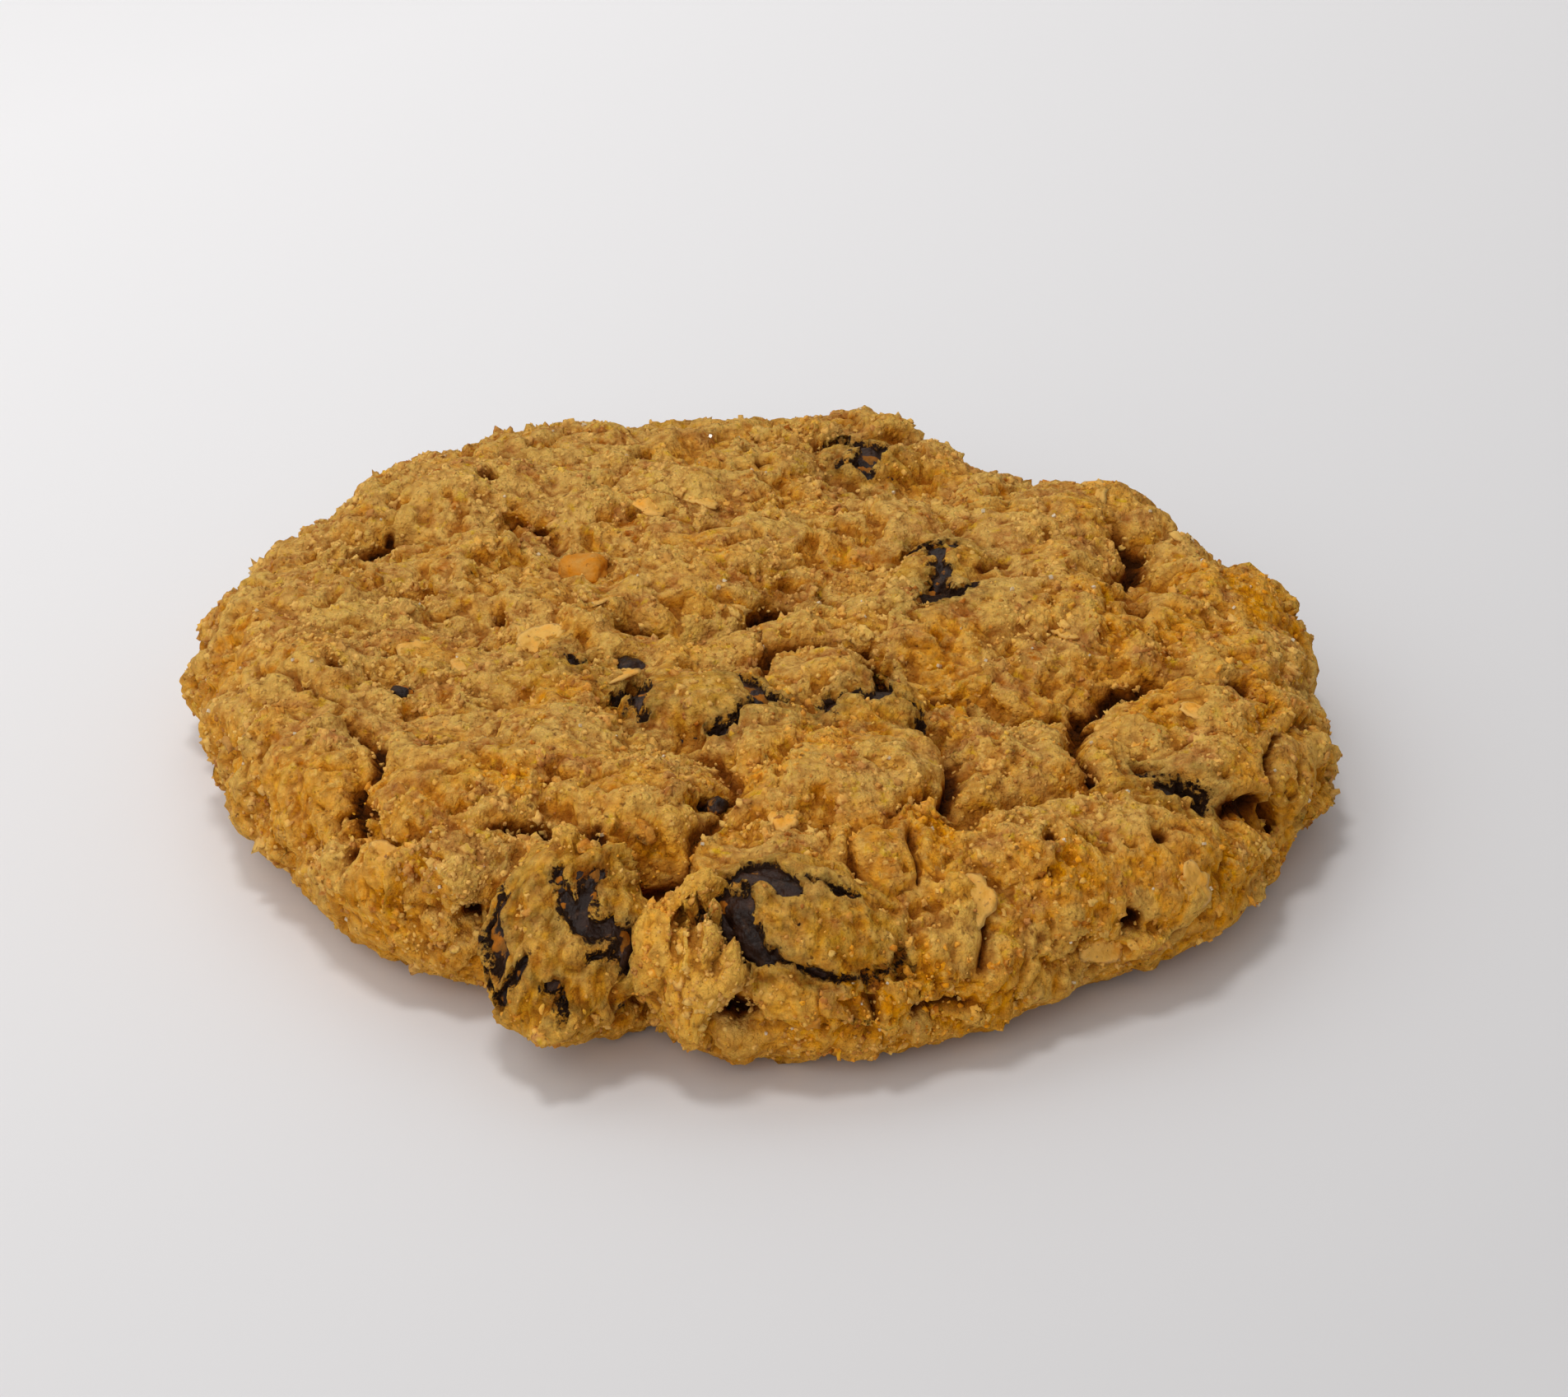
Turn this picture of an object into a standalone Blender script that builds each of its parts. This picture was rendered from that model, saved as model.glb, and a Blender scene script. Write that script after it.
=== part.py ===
"""Oatmeal raisin cookie: one thick, uneven round of baked dough with nine raisins set in its top and rim.

Metres, +Z up. The origin is the middle of the flat base, and the face with the large raisins looks along -Y.
Sizes below are in millimetres and are turned into metres where a mesh is made.

Places on the dough are "laid flat": x and y measured from the centre over the top and on down the rim, as if
the skin were peeled off and pressed flat. So a feature keeps its true size where the rim curves away.
"""

import math

import bmesh
import bpy
import numpy as np
from mathutils import Matrix, Vector

MM = 0.001

# The round of dough
RIM_RADIUS = 38.8
THICKNESS = 12.0
DOMING = 0.7
WAIST_HEIGHT = 4.8
TOP_ROLL = 9.0
BASE_ROLL = 5.5
SHEET_CELLS = 37

# How the outline leaves the circle: direction in degrees, half width in degrees, distance outwards
RIM_LOBES = [
    (-13, 8, 1.2),
    (4, 6, -0.6),
    (16, 6, 1.6),
    (28, 8, -2.0),
    (52, 11, -4.9),
    (72, 7, 0.2),
    (86, 6, -2.6),
    (118, 6, 1.8),
    (133, 10, 2.9),
    (165, 16, 2.1),
    (205, 15, -2.0),
    (232, 8, -2.2),
    (248, 5, 1.6),
    (259.5, 2.4, -3.2),
    (278, 13, 1.1),
    (304, 9, -0.8),
    (333, 14, 0.9),
]

# Rises of the dough: x, y laid flat, half length, half width, turn in degrees, height
DOMES = [
    (-33, -15, 7, 10, 15, 0.9),
    (-27, 0, 8, 6, 10, 0.6),
    (-12, 19, 10, 7, 5, 0.9),
    (-4, 5, 6, 4, -10, 0.9),
    (8, 13, 6, 6, 0, 1.0),
    (6, 0, 9, 2.6, 8, 0.8),
    (21, 13, 9, 8, -20, 0.7),
    (20, 0, 8, 4, 25, 0.7),
    (27, -11, 7, 5, 20, 1.1),
    (31, -18, 4, 4, 0, 0.9),
    (23, -27, 13, 4.2, 9, 1.9),
    (6, -22, 8, 4.5, 5, 1.0),
    (4, -30, 7, 3, 5, 0.7),
    (-15, -20, 10, 6, -10, 1.0),
    (-13, -29, 6, 2.5, -8, 0.9),
    (-25, 20, 7, 5, 35, 0.6),
    (7, 33, 5, 4, 0, 0.9),
    (-4, -39, 3, 5, 10, 0.9),
    (12, -39, 5, 4, 0, 0.7),
    (25, -33, 9, 4, 40, 0.6),
]

# Folds between the rises: start, end (laid flat), bow, half width, depth
FOLDS = [
    ((-9, -1), (1, 1.5), -1.2, 1.5, 1.3),
    ((7, -6), (17, -12), 0.3, 1.5, 1.1),
    ((-4, -18), (-3, -27), 1.2, 1.8, 1.6),
    ((-3, -26), (-6.2, -34.5), 0.6, 2.4, 2.0),
    ((-6.2, -33.5), (-7.6, -44), -1.2, 1.3, 3.2),
    ((13, -26), (29, -22), 2.2, 1.5, 1.8),
    ((29, -22), (36, -19.5), -0.4, 1.5, 1.5),
    ((-26.5, -14), (-27, -26), 1.6, 1.5, 1.2),
    ((11, -15), (12.5, -24), 1.1, 1.4, 0.9),
    ((21, -12.5), (28, -7), 1.3, 1.4, 1.0),
    ((-31.5, 11), (-15, 12), 2.2, 1.6, 1.2),
    ((26, 14), (26, 1), 1.2, 1.6, 1.1),
]

# Slower unevenness of the whole skin: cell, height
LUMPS = [(11.0, 1.2), (6.5, 1.0)]

# Raisins: x, y laid flat, length, width, depth, turn in degrees, how far the middle lies under the skin
RAISINS = {
    "raisin_front": (2.8, -36.2, 14.8, 9.2, 7.4, -14, 2.3),
    "raisin_front_left": (-12.4, -36.2, 13.4, 11.0, 8.0, 78, 3.0),
    "raisin_middle": (-3.7, -12.0, 12.0, 8.4, 5.6, -6, 1.8),
    "raisin_middle_right": (7.4, -12.5, 9.8, 7.2, 5.4, 28, 1.8),
    "raisin_upper_right": (12.6, 6.0, 9.4, 6.6, 5.2, 66, 1.8),
    "raisin_back": (7.6, 24.5, 9.8, 7.2, 5.6, 12, 1.9),
    "raisin_right": (27.2, -22.0, 9.8, 6.2, 5.4, -14, 1.6),
    "raisin_left": (-13.9, -7.6, 8.4, 6.4, 5.0, 18, 1.8),
    "raisin_rim_back": (-9.5, 40.4, 11.0, 7.0, 6.0, 170, 2.2),
}
RAISIN_DETAIL = 3
RAISIN_FURROWS = 5
FURROW_DEPTH = 0.06
SOCKET_GAP = 0.3


def lattice_value(ix, iy, iz, seed):
    """A fixed number from 0 to 1 for each whole-number lattice corner."""
    n = (ix * 73856093) ^ (iy * 19349663) ^ (iz * 83492791) ^ (seed * 1640531513)
    n &= 0xFFFFFFFF
    n = ((n ^ (n >> 13)) * 1274126177) & 0xFFFFFFFF
    return (n ^ (n >> 16)) / 0xFFFFFFFF


def soft_noise(points, cell, seed):
    """Smooth unevenness from -1 to 1: lattice values blended over cells of the given size."""
    scaled = points / cell
    base = np.floor(scaled).astype(np.int64)
    part = scaled - base
    part = part * part * (3 - 2 * part)
    total = 0
    for dx in (0, 1):
        for dy in (0, 1):
            for dz in (0, 1):
                wx = part[:, 0] if dx else 1 - part[:, 0]
                wy = part[:, 1] if dy else 1 - part[:, 1]
                wz = part[:, 2] if dz else 1 - part[:, 2]
                corner = lattice_value(base[:, 0] + dx, base[:, 1] + dy, base[:, 2] + dz, seed)
                total = total + wx * wy * wz * corner
    return 2 * total - 1


def rim_radius(turn):
    """Radius of the outline in each direction, with its lobes and its notch."""
    degrees = np.degrees(turn)
    radius = np.full_like(degrees, RIM_RADIUS)
    for direction, half_width, outwards in RIM_LOBES:
        away = (degrees - direction + 180) % 360 - 180
        radius = radius + outwards * np.exp(-0.5 * (away / half_width) ** 2)
    return radius


def roll_length(across, high):
    """Length of a quarter of an ellipse."""
    return 0.5 * math.pi * math.sqrt((across * across + high * high) / 2)


def skin(flat, across, high, z_of_roll):
    """Place and normal of each laid-flat point on one face: level in the middle, then a quarter-ellipse roll."""
    reach = np.hypot(flat[:, 0], flat[:, 1])
    turn = np.arctan2(flat[:, 1], flat[:, 0])
    level = rim_radius(turn) - across
    bend = np.clip((reach - level) / roll_length(across, high), 0, 1) * math.pi / 2
    radius = np.where(reach < level, reach, level + across * np.sin(bend))
    out, up = np.sin(bend) * high, np.cos(bend) * across
    size = np.hypot(out, up)
    place = np.stack([radius * np.cos(turn), radius * np.sin(turn), z_of_roll(np.cos(bend), reach / level)], 1)
    normal = np.stack([out / size * np.cos(turn), out / size * np.sin(turn), up / size], 1)
    return place, normal


def top_skin(flat):
    """Place and normal on the top and the upper rim, which meets the base at the waist."""

    def height(share, inward):
        return WAIST_HEIGHT + (THICKNESS - WAIST_HEIGHT) * share + DOMING * (1 - np.clip(inward, 0, 1) ** 2)

    return skin(flat, TOP_ROLL, THICKNESS - WAIST_HEIGHT, height)


def base_skin(flat):
    """Place and normal on the flat base and the lower rim."""
    place, normal = skin(flat, BASE_ROLL, WAIST_HEIGHT, lambda share, inward: WAIST_HEIGHT * (1 - share))
    normal[:, 2] *= -1
    return place, normal


def dome(flat, x, y, half_length, half_width, turn, height):
    """A smooth rise over an ellipse."""
    cos, sin = math.cos(math.radians(turn)), math.sin(math.radians(turn))
    dx, dy = flat[:, 0] - x, flat[:, 1] - y
    along, aside = (dx * cos + dy * sin) / half_length, (dy * cos - dx * sin) / half_width
    return height * np.exp(-(along**2 + aside**2))


def fold(flat, start, end, bow, half_width, depth):
    """A valley along a bowed line, fading out at both ends."""
    sx, sy = start
    ex, ey = end
    length = math.hypot(ex - sx, ey - sy)
    ux, uy = (ex - sx) / length, (ey - sy) / length
    dx, dy = flat[:, 0] - sx, flat[:, 1] - sy
    share = (dx * ux + dy * uy) / length
    aside = ux * dy - uy * dx - bow * 4 * share * (1 - share)
    past_end = np.maximum(0, np.abs(share - 0.5) - 0.5) * length
    return -depth * np.exp(-((aside / half_width) ** 2) - (past_end / half_width) ** 2)


def relief(flat, place):
    """How far the skin stands off the plain round, in millimetres."""
    height = np.zeros(len(flat))
    for one in DOMES:
        height += dome(flat, *one)
    for one in FOLDS:
        height += fold(flat, *one)
    for seed, (cell, high) in enumerate(LUMPS):
        height += high * soft_noise(place, cell, seed)
    return height


def square_to_disc(square):
    """Turns a square from -1 to 1 into a unit disc of evenly sized cells (Shirley's concentric map)."""
    u, v = square[:, 0], square[:, 1]
    wide = np.abs(u) > np.abs(v)
    radius = np.where(wide, u, v)
    safe_u, safe_v = np.where(u == 0, 1, u), np.where(v == 0, 1, v)
    turn = np.where(wide, math.pi / 4 * v / safe_u, math.pi / 2 - math.pi / 4 * u / safe_v)
    return np.stack([radius * np.cos(turn), radius * np.sin(turn)], 1)


def move_to(collection, thing):
    for old in list(thing.users_collection):
        old.objects.unlink(thing)
    collection.objects.link(thing)


def grid_sheet(name):
    """A square grid object and its vertex places."""
    bpy.ops.mesh.primitive_grid_add(x_subdivisions=SHEET_CELLS, y_subdivisions=SHEET_CELLS, size=2)
    sheet = bpy.context.active_object
    sheet.name = name
    square = np.empty(len(sheet.data.vertices) * 3)
    sheet.data.vertices.foreach_get("co", square)
    return sheet, square.reshape(-1, 3)


def laid_flat(square, across, high):
    """Spreads the unit disc over one face, out to the waist."""
    disc = square_to_disc(square)
    share = np.hypot(disc[:, 0], disc[:, 1])
    turn = np.arctan2(disc[:, 1], disc[:, 0])
    reach = share * (rim_radius(turn) - across + roll_length(across, high))
    return np.stack([reach * np.cos(turn), reach * np.sin(turn)], 1), turn


def make_top(name):
    sheet, square = grid_sheet(name)
    flat, _ = laid_flat(square, TOP_ROLL, THICKNESS - WAIST_HEIGHT)
    place, normal = top_skin(flat)
    place += normal * relief(flat, place)[:, None]
    sheet.data.vertices.foreach_set("co", (place * MM).ravel())
    return sheet


def make_base(name):
    """The base carries the waist's relief down its roll and is flat inside it."""
    sheet, square = grid_sheet(name)
    flat, turn = laid_flat(square, BASE_ROLL, WAIST_HEIGHT)
    place, normal = base_skin(flat)
    waist_reach = rim_radius(turn) - TOP_ROLL + roll_length(TOP_ROLL, THICKNESS - WAIST_HEIGHT)
    waist_flat = waist_reach[:, None] * np.stack([np.cos(turn), np.sin(turn)], 1)
    waist_place, waist_normal = top_skin(waist_flat)
    shared = (np.hypot(normal[:, 0], normal[:, 1]) ** 2) * relief(waist_flat, waist_place)
    place[:, :2] += waist_normal[:, :2] * shared[:, None]
    sheet.data.vertices.foreach_set("co", (place * MM).ravel())
    sheet.data.flip_normals()
    return sheet


def make_dough(collection):
    """Top and base sheets joined at the waist into one closed round, with one flat face to rest on."""
    top, base = make_top("dough"), make_base("dough_base")
    body = bmesh.new()
    body.from_mesh(top.data)
    body.from_mesh(base.data)
    bmesh.ops.remove_doubles(body, verts=body.verts, dist=0.02 * MM)
    resting = [face for face in body.faces if max(vert.co.z for vert in face.verts) < 0.001 * MM]
    bmesh.ops.dissolve_faces(body, faces=resting)
    bmesh.ops.triangulate(body, faces=body.faces, quad_method="BEAUTY", ngon_method="BEAUTY")
    body.to_mesh(top.data)
    body.free()
    bpy.data.objects.remove(base)
    move_to(collection, top)
    top.data.shade_smooth()
    return top


def raisin_frame(x, y, turn, sink):
    """Matrix whose Z stands out of the dough at this laid-flat place, turned about it."""
    flat = np.array([[x, y]])
    place, normal = top_skin(flat)
    place += normal * relief(flat, place)[:, None]
    out = Vector(normal[0])
    side = Vector((1, 0, 0)) - out * out.x
    side.normalize()
    axes = Matrix((side, out.cross(side), out)).transposed().to_4x4()
    return Matrix.Translation((Vector(place[0]) - out * sink) * MM) @ axes @ Matrix.Rotation(math.radians(turn), 4, "Z")


def make_raisin(name, row, grow, collection):
    """A plump raisin with furrows along its length. Grow is added all round, for the socket's cutter."""
    x, y, length, width, depth, turn, sink = row
    bpy.ops.mesh.primitive_ico_sphere_add(subdivisions=RAISIN_DETAIL, radius=1)
    raisin = bpy.context.active_object
    raisin.name = name
    unit = np.empty(len(raisin.data.vertices) * 3)
    raisin.data.vertices.foreach_get("co", unit)
    unit = unit.reshape(-1, 3)
    around = np.arctan2(unit[:, 2], unit[:, 1])
    furrow = FURROW_DEPTH * np.cos(RAISIN_FURROWS * around + 2 * unit[:, 0]) * (1 - unit[:, 0] ** 2)
    half = np.array([length, width, depth]) / 2
    shape = unit * (half * (1 + furrow)[:, None] + grow)
    raisin.data.vertices.foreach_set("co", (shape * MM).ravel())
    raisin.matrix_world = raisin_frame(x, y, turn, sink)
    move_to(collection, raisin)
    raisin.data.shade_smooth()
    return raisin


def finish(name, colour, roughness):
    """A plain Principled material."""
    material = bpy.data.materials.new(name)
    material.use_nodes = True
    shader = material.node_tree.nodes["Principled BSDF"]
    shader.inputs["Base Color"].default_value = (*colour, 1)
    shader.inputs["Roughness"].default_value = roughness
    return material


def new_collection(name):
    collection = bpy.data.collections.new(name)
    bpy.context.scene.collection.children.link(collection)
    return collection


def main():
    for old in list(bpy.data.objects):
        bpy.data.objects.remove(old)
    cookie = new_collection("oatmeal_raisin_cookie")
    cutters = new_collection("socket_cutters")

    baked_dough = finish("baked_dough", (0.46, 0.25, 0.07), 0.85)
    raisin_skin = finish("raisin_skin", (0.035, 0.02, 0.022), 0.45)

    dough = make_dough(cookie)
    dough.data.materials.append(baked_dough)
    for name, row in RAISINS.items():
        make_raisin(name, row, 0, cookie).data.materials.append(raisin_skin)
        cutter = make_raisin(name + "_socket", row, SOCKET_GAP, cutters)
        cutter.hide_render = True
        cutter.display_type = "WIRE"

    sockets = dough.modifiers.new("raisin_sockets", "BOOLEAN")
    sockets.operation = "DIFFERENCE"
    sockets.operand_type = "COLLECTION"
    sockets.collection = cutters


main()
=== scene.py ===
import math

import bpy
import numpy as np
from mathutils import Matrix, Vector


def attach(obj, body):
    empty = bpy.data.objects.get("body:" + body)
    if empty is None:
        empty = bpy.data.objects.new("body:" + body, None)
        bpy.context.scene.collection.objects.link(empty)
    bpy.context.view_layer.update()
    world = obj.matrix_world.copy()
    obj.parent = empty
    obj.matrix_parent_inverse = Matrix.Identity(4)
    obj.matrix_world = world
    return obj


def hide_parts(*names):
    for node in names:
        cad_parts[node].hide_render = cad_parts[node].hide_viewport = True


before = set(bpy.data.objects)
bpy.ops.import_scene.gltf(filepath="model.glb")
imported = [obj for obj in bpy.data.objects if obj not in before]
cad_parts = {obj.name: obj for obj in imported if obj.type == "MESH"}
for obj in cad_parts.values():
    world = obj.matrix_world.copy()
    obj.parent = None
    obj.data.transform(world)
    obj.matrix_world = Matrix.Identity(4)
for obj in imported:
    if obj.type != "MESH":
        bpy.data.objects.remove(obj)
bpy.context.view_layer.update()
mm = 0.001  # every size below is in millimetres until it goes into a mesh
print("frame loaded:", len(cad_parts), "nodes")


# Noise, worked out for whole arrays of points at once


def latticeNumber(ix, iy, iz, seed):
    # three whole numbers and a seed are mixed bit by bit into a fixed number from 0 to 1
    n = ix * np.uint32(73856093) ^ iy * np.uint32(19349663) ^ iz * np.uint32(83492791)
    n = n ^ np.uint32(seed * 1640531513 & 0xFFFFFFFF)
    n = (n ^ (n >> np.uint32(13))) * np.uint32(1274126177)
    return (n ^ (n >> np.uint32(16))) / 4294967295.0


def latticeCorners(points, cell):
    scaled = points / cell
    base = np.floor(scaled)
    return base.astype(np.int64).astype(np.uint32), scaled - base


def swell(points, cell, seed):
    # value noise: lattice numbers blended over each cell with 3t^2 - 2t^3, from -1 to 1
    base, part = latticeCorners(points, cell)
    part = part * part * (3 - 2 * part)
    total = 0
    for corner in np.ndindex(2, 2, 2):
        weight = np.prod(np.where(corner, part, 1 - part), axis=1)
        total = total + weight * latticeNumber(*(base + np.array(corner, np.uint32)).T, seed)
    return 2 * total - 1


def ripple(points, cell, seed):
    # gradient noise: each corner adds its own slope times the distance from it, from about -1 to 1
    base, part = latticeCorners(points, cell)
    blend = part * part * part * (part * (6 * part - 15) + 10)
    total = 0
    for corner in np.ndindex(2, 2, 2):
        at = (base + np.array(corner, np.uint32)).T
        away = part - np.array(corner)
        slope = sum((latticeNumber(*at, seed + 7 * k) * 2 - 1) * away[:, k] for k in range(3))
        total = total + np.prod(np.where(corner, blend, 1 - blend), axis=1) * slope
    return total * 1.6


def stirred(points, amount, cell, seed):
    # moves each point by three gradient noises, so that patterns read there lose their regular look
    return points + amount * np.stack([ripple(points, cell, seed + 31 * k) for k in range(3)], 1)


def pebbles(points, cell, seed):
    # one point strewn in each cell: distances to the nearest and the next, in cells, and the nearest's number
    base, part = latticeCorners(points, cell)
    first = np.full(len(points), 9.0)
    second = first.copy()
    number = np.zeros(len(points))
    for step in np.ndindex(3, 3, 3):
        step = np.array(step) - 1
        at = (base + step.astype(np.int64).astype(np.uint32)).T
        spot = np.stack([latticeNumber(*at, seed + 11 * k) for k in range(3)], 1) + step
        away = np.sqrt(((spot - part) ** 2).sum(1))
        nearer = away < first
        second = np.where(nearer, first, np.minimum(second, away))
        number = np.where(nearer, latticeNumber(*at, seed + 5), number)
        first = np.minimum(first, away)
    return first, second, number


def rise(low, high, x):
    # 0 below low, 1 above high, 3t^2 - 2t^3 between
    t = np.clip((x - low) / (high - low), 0, 1)
    return t * t * (3 - 2 * t)


# The dough's plain form: the same round as the solid, in directions (turn) and lengths over the skin (reach)

roundForm = {
    "rimRadius": 38.8,
    "thickness": 12.0,
    "doming": 0.7,
    "waistHeight": 4.8,
    "topRoll": 9.0,
    "baseRoll": 5.5,
    # direction and half width in degrees, distance outwards
    "rimLobes": [
        (-14, 6, 1.3), (1, 6, -1.9), (11, 5, 1.7), (25, 6, -2.0), (44, 5, -2.9), (56, 9, -4.6), (72, 7, 0.2),
        (86, 6, -2.6), (118, 6, 1.8), (133, 10, 2.9), (165, 16, 2.1), (182, 6, -1.2), (205, 15, -2.0),
        (230, 8, -0.9), (244.5, 4, -2.9), (259.5, 2.4, -3.0), (268, 5, 0.7), (278, 13, 1.1), (304, 9, -0.3),
        (333, 14, 0.9),
    ],
    # x, y laid flat, half length, half width, turn in degrees, height
    "domes": [
        (-33, -15, 7, 10, 15, 0.9), (-27, 0, 8, 6, 10, 0.6), (-12, 19, 10, 7, 5, 0.9),
        (-4, 5, 6, 4, -10, 0.9), (8, 13, 6, 6, 0, 1.0), (6, 0, 9, 2.6, 8, 0.8), (21, 13, 9, 8, -20, 0.7),
        (20, 0, 8, 4, 25, 0.7), (27, -11, 7, 5, 20, 1.1), (31, -18, 4, 4, 0, 0.9),
        (23, -27, 13, 4.2, 9, 1.9), (6, -22, 8, 4.5, 5, 1.0), (4, -30, 7, 3, 5, 0.7),
        (-15, -20, 10, 6, -10, 1.0), (-13, -29, 6, 2.5, -8, 0.9), (-25, 20, 7, 5, 35, 0.6),
        (7, 33, 5, 4, 0, 0.9), (-4, -39, 3, 5, 10, 0.9), (12, -39, 5, 4, 0, 0.7), (25, -33, 9, 4, 40, 0.6),
        (-20, 28, 5, 5, 0, 0.9), (-8, 34, 6, 4, 0, -0.9), (1, 34, 4, 4, 0, -0.5), (19, 28, 4, 4, 0, -0.9),
        (27, 22, 5, 4, 0, -1.1),
    ],
    # start, end, bow, half width, depth
    "folds": [
        ((-9, -1), (1, 1.5), -1.2, 1.5, 1.3), ((7, -6), (17, -12), 0.3, 1.5, 1.1),
        ((-4, -18), (-3, -27), 1.2, 1.7, 0.6), ((-3, -26), (-6.8, -32.5), 0.6, 2.0, 0.8),
        ((-6.2, -33.5), (-7.6, -44), -1.2, 1.3, 0.8), ((13, -26), (29, -22), 2.2, 1.5, 1.8),
        ((29, -22), (36, -19.5), -0.4, 1.5, 1.5), ((-26.5, -14), (-27, -26), 1.6, 1.5, 0.7),
        ((11, -15), (12.5, -24), 1.1, 1.4, 0.9), ((21, -12.5), (28, -7), 1.3, 1.4, 1.0),
        ((-31.5, 11), (-15, 12), 2.2, 1.6, 0.9), ((26, 14), (26, 1), 1.2, 1.6, 1.1),
    ],
    "lumps": [(11.0, 1.2), (6.5, 1.0)],  # cell, height
}


def rimRadius(turn):
    # a circle with a bell-shaped lobe or dent in each named direction
    degrees = np.degrees(turn)
    radius = np.full_like(degrees, roundForm["rimRadius"])
    for direction, halfWidth, outwards in roundForm["rimLobes"]:
        away = (degrees - direction + 180) % 360 - 180
        radius = radius + outwards * np.exp(-0.5 * (away / halfWidth) ** 2)
    return radius


def rollLength(across, high):
    # length of a quarter of an ellipse
    return 0.5 * math.pi * math.sqrt((across * across + high * high) / 2)


topRise = roundForm["thickness"] - roundForm["waistHeight"]
topRollLength = rollLength(roundForm["topRoll"], topRise)
baseRollLength = rollLength(roundForm["baseRoll"], roundForm["waistHeight"])


def waistReach(turn):
    return rimRadius(turn) - roundForm["topRoll"] + topRollLength


def roundSkin(turn, reach):
    # level top, quarter-ellipse roll down to the waist, quarter-ellipse roll in to the base, level base
    radius = rimRadius(turn)
    level = radius - roundForm["topRoll"]
    bend = np.clip((reach - level) / topRollLength, 0, 1) * math.pi / 2
    across = np.where(reach < level, reach, level + roundForm["topRoll"] * np.sin(bend))
    doming = roundForm["doming"] * (1 - np.clip(reach / level, 0, 1) ** 2)
    height = roundForm["waistHeight"] + topRise * np.cos(bend) + doming
    out, up = np.sin(bend) * topRise, np.cos(bend) * roundForm["topRoll"]
    past = reach - waistReach(turn)
    under = np.clip(past / baseRollLength, 0, 1) * math.pi / 2
    inwards = np.maximum(past - baseRollLength, 0)
    acrossUnder = radius - roundForm["baseRoll"] * (1 - np.cos(under)) - inwards
    heightUnder = roundForm["waistHeight"] * (1 - np.sin(under))
    outUnder, upUnder = np.cos(under) * roundForm["waistHeight"], -np.sin(under) * roundForm["baseRoll"]
    below = past > 0
    across, height = np.where(below, acrossUnder, across), np.where(below, heightUnder, height)
    out, up = np.where(below, outUnder, out), np.where(below, upUnder, up)
    size = np.hypot(out, up)
    place = np.stack([across * np.cos(turn), across * np.sin(turn), height], 1)
    normal = np.stack([out / size * np.cos(turn), out / size * np.sin(turn), up / size], 1)
    return place, normal


def laidFlat(turn, reach):
    return np.stack([reach * np.cos(turn), reach * np.sin(turn)], 1)


def acrossOval(flat, x, y, halfLength, halfWidth, turn):
    # place along and across a turned oval, each 1 at its edge
    cos, sin = math.cos(math.radians(turn)), math.sin(math.radians(turn))
    dx, dy = flat[:, 0] - x, flat[:, 1] - y
    return (dx * cos + dy * sin) / halfLength, (dy * cos - dx * sin) / halfWidth


def domeHeight(flat, x, y, halfLength, halfWidth, turn, height):
    # height times e to minus the squared distance over an oval
    along, aside = acrossOval(flat, x, y, halfLength, halfWidth, turn)
    return height * np.exp(-(along**2) - aside**2)


def fromBow(flat, start, end, bow):
    # signed distance aside of a parabola of that bow between two ends, and the distance past either end
    (sx, sy), (ex, ey) = start, end
    length = math.hypot(ex - sx, ey - sy)
    ux, uy = (ex - sx) / length, (ey - sy) / length
    dx, dy = flat[:, 0] - sx, flat[:, 1] - sy
    share = (dx * ux + dy * uy) / length
    aside = ux * dy - uy * dx - bow * 4 * share * (1 - share)
    return aside, np.maximum(0, np.abs(share - 0.5) - 0.5) * length


def formHeight(flat, place):
    # the named domes, minus the folds, plus two slow value noises
    height = sum(domeHeight(flat, *one) for one in roundForm["domes"])
    for start, end, bow, halfWidth, depth in roundForm["folds"]:
        aside, past = fromBow(flat, start, end, bow)
        height = height - depth * np.exp(-((aside / halfWidth) ** 2) - (past / halfWidth) ** 2)
    for seed, (cell, high) in enumerate(roundForm["lumps"]):
        height = height + high * swell(place, cell, seed)
    return height


# One closed skin: a disc sheet for the top, rings down the lower rim, a coarser disc sheet for the base


def discSheet(count):
    # a square grid carried onto the unit disc by the concentric map, cells split along their outward diagonal
    line = np.linspace(-1, 1, count + 1)
    u, v = np.meshgrid(line, line, indexing="ij")
    share = np.maximum(np.abs(u), np.abs(v))
    wide = np.abs(u) >= np.abs(v)
    safeU, safeV = np.where(u == 0, 1, u), np.where(v == 0, 1, v)
    turn = np.where(wide, math.pi / 4 * v / safeU, math.pi / 2 - math.pi / 4 * u / safeV)
    turn = turn + np.where(np.where(wide, u, v) < 0, math.pi, 0)
    index = np.arange((count + 1) ** 2).reshape(count + 1, count + 1)
    a, b, c, d = index[:-1, :-1], index[1:, :-1], index[1:, 1:], index[:-1, 1:]
    middle = (line[:-1] + line[1:]) / 2
    outward = (middle[:, None] * middle[None, :] > 0)[..., None]
    first = np.where(outward, np.stack([a, b, c], -1), np.stack([a, b, d], -1))
    second = np.where(outward, np.stack([a, c, d], -1), np.stack([b, c, d], -1))
    triangles = np.concatenate([first.reshape(-1, 3), second.reshape(-1, 3)])
    rim = np.concatenate([index[-1, :-1], index[:0:-1, -1], index[0, :0:-1], index[:-1, 0]])
    return share.ravel(), turn.ravel() % (2 * math.pi), triangles, rim


def band(outer, inner):
    # two triangles for each step between two closed rings of the same count
    a, b, c, d = outer, np.roll(outer, -1), np.roll(inner, -1), inner
    return np.concatenate([np.stack([a, d, b], 1), np.stack([b, d, c], 1)])


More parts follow.
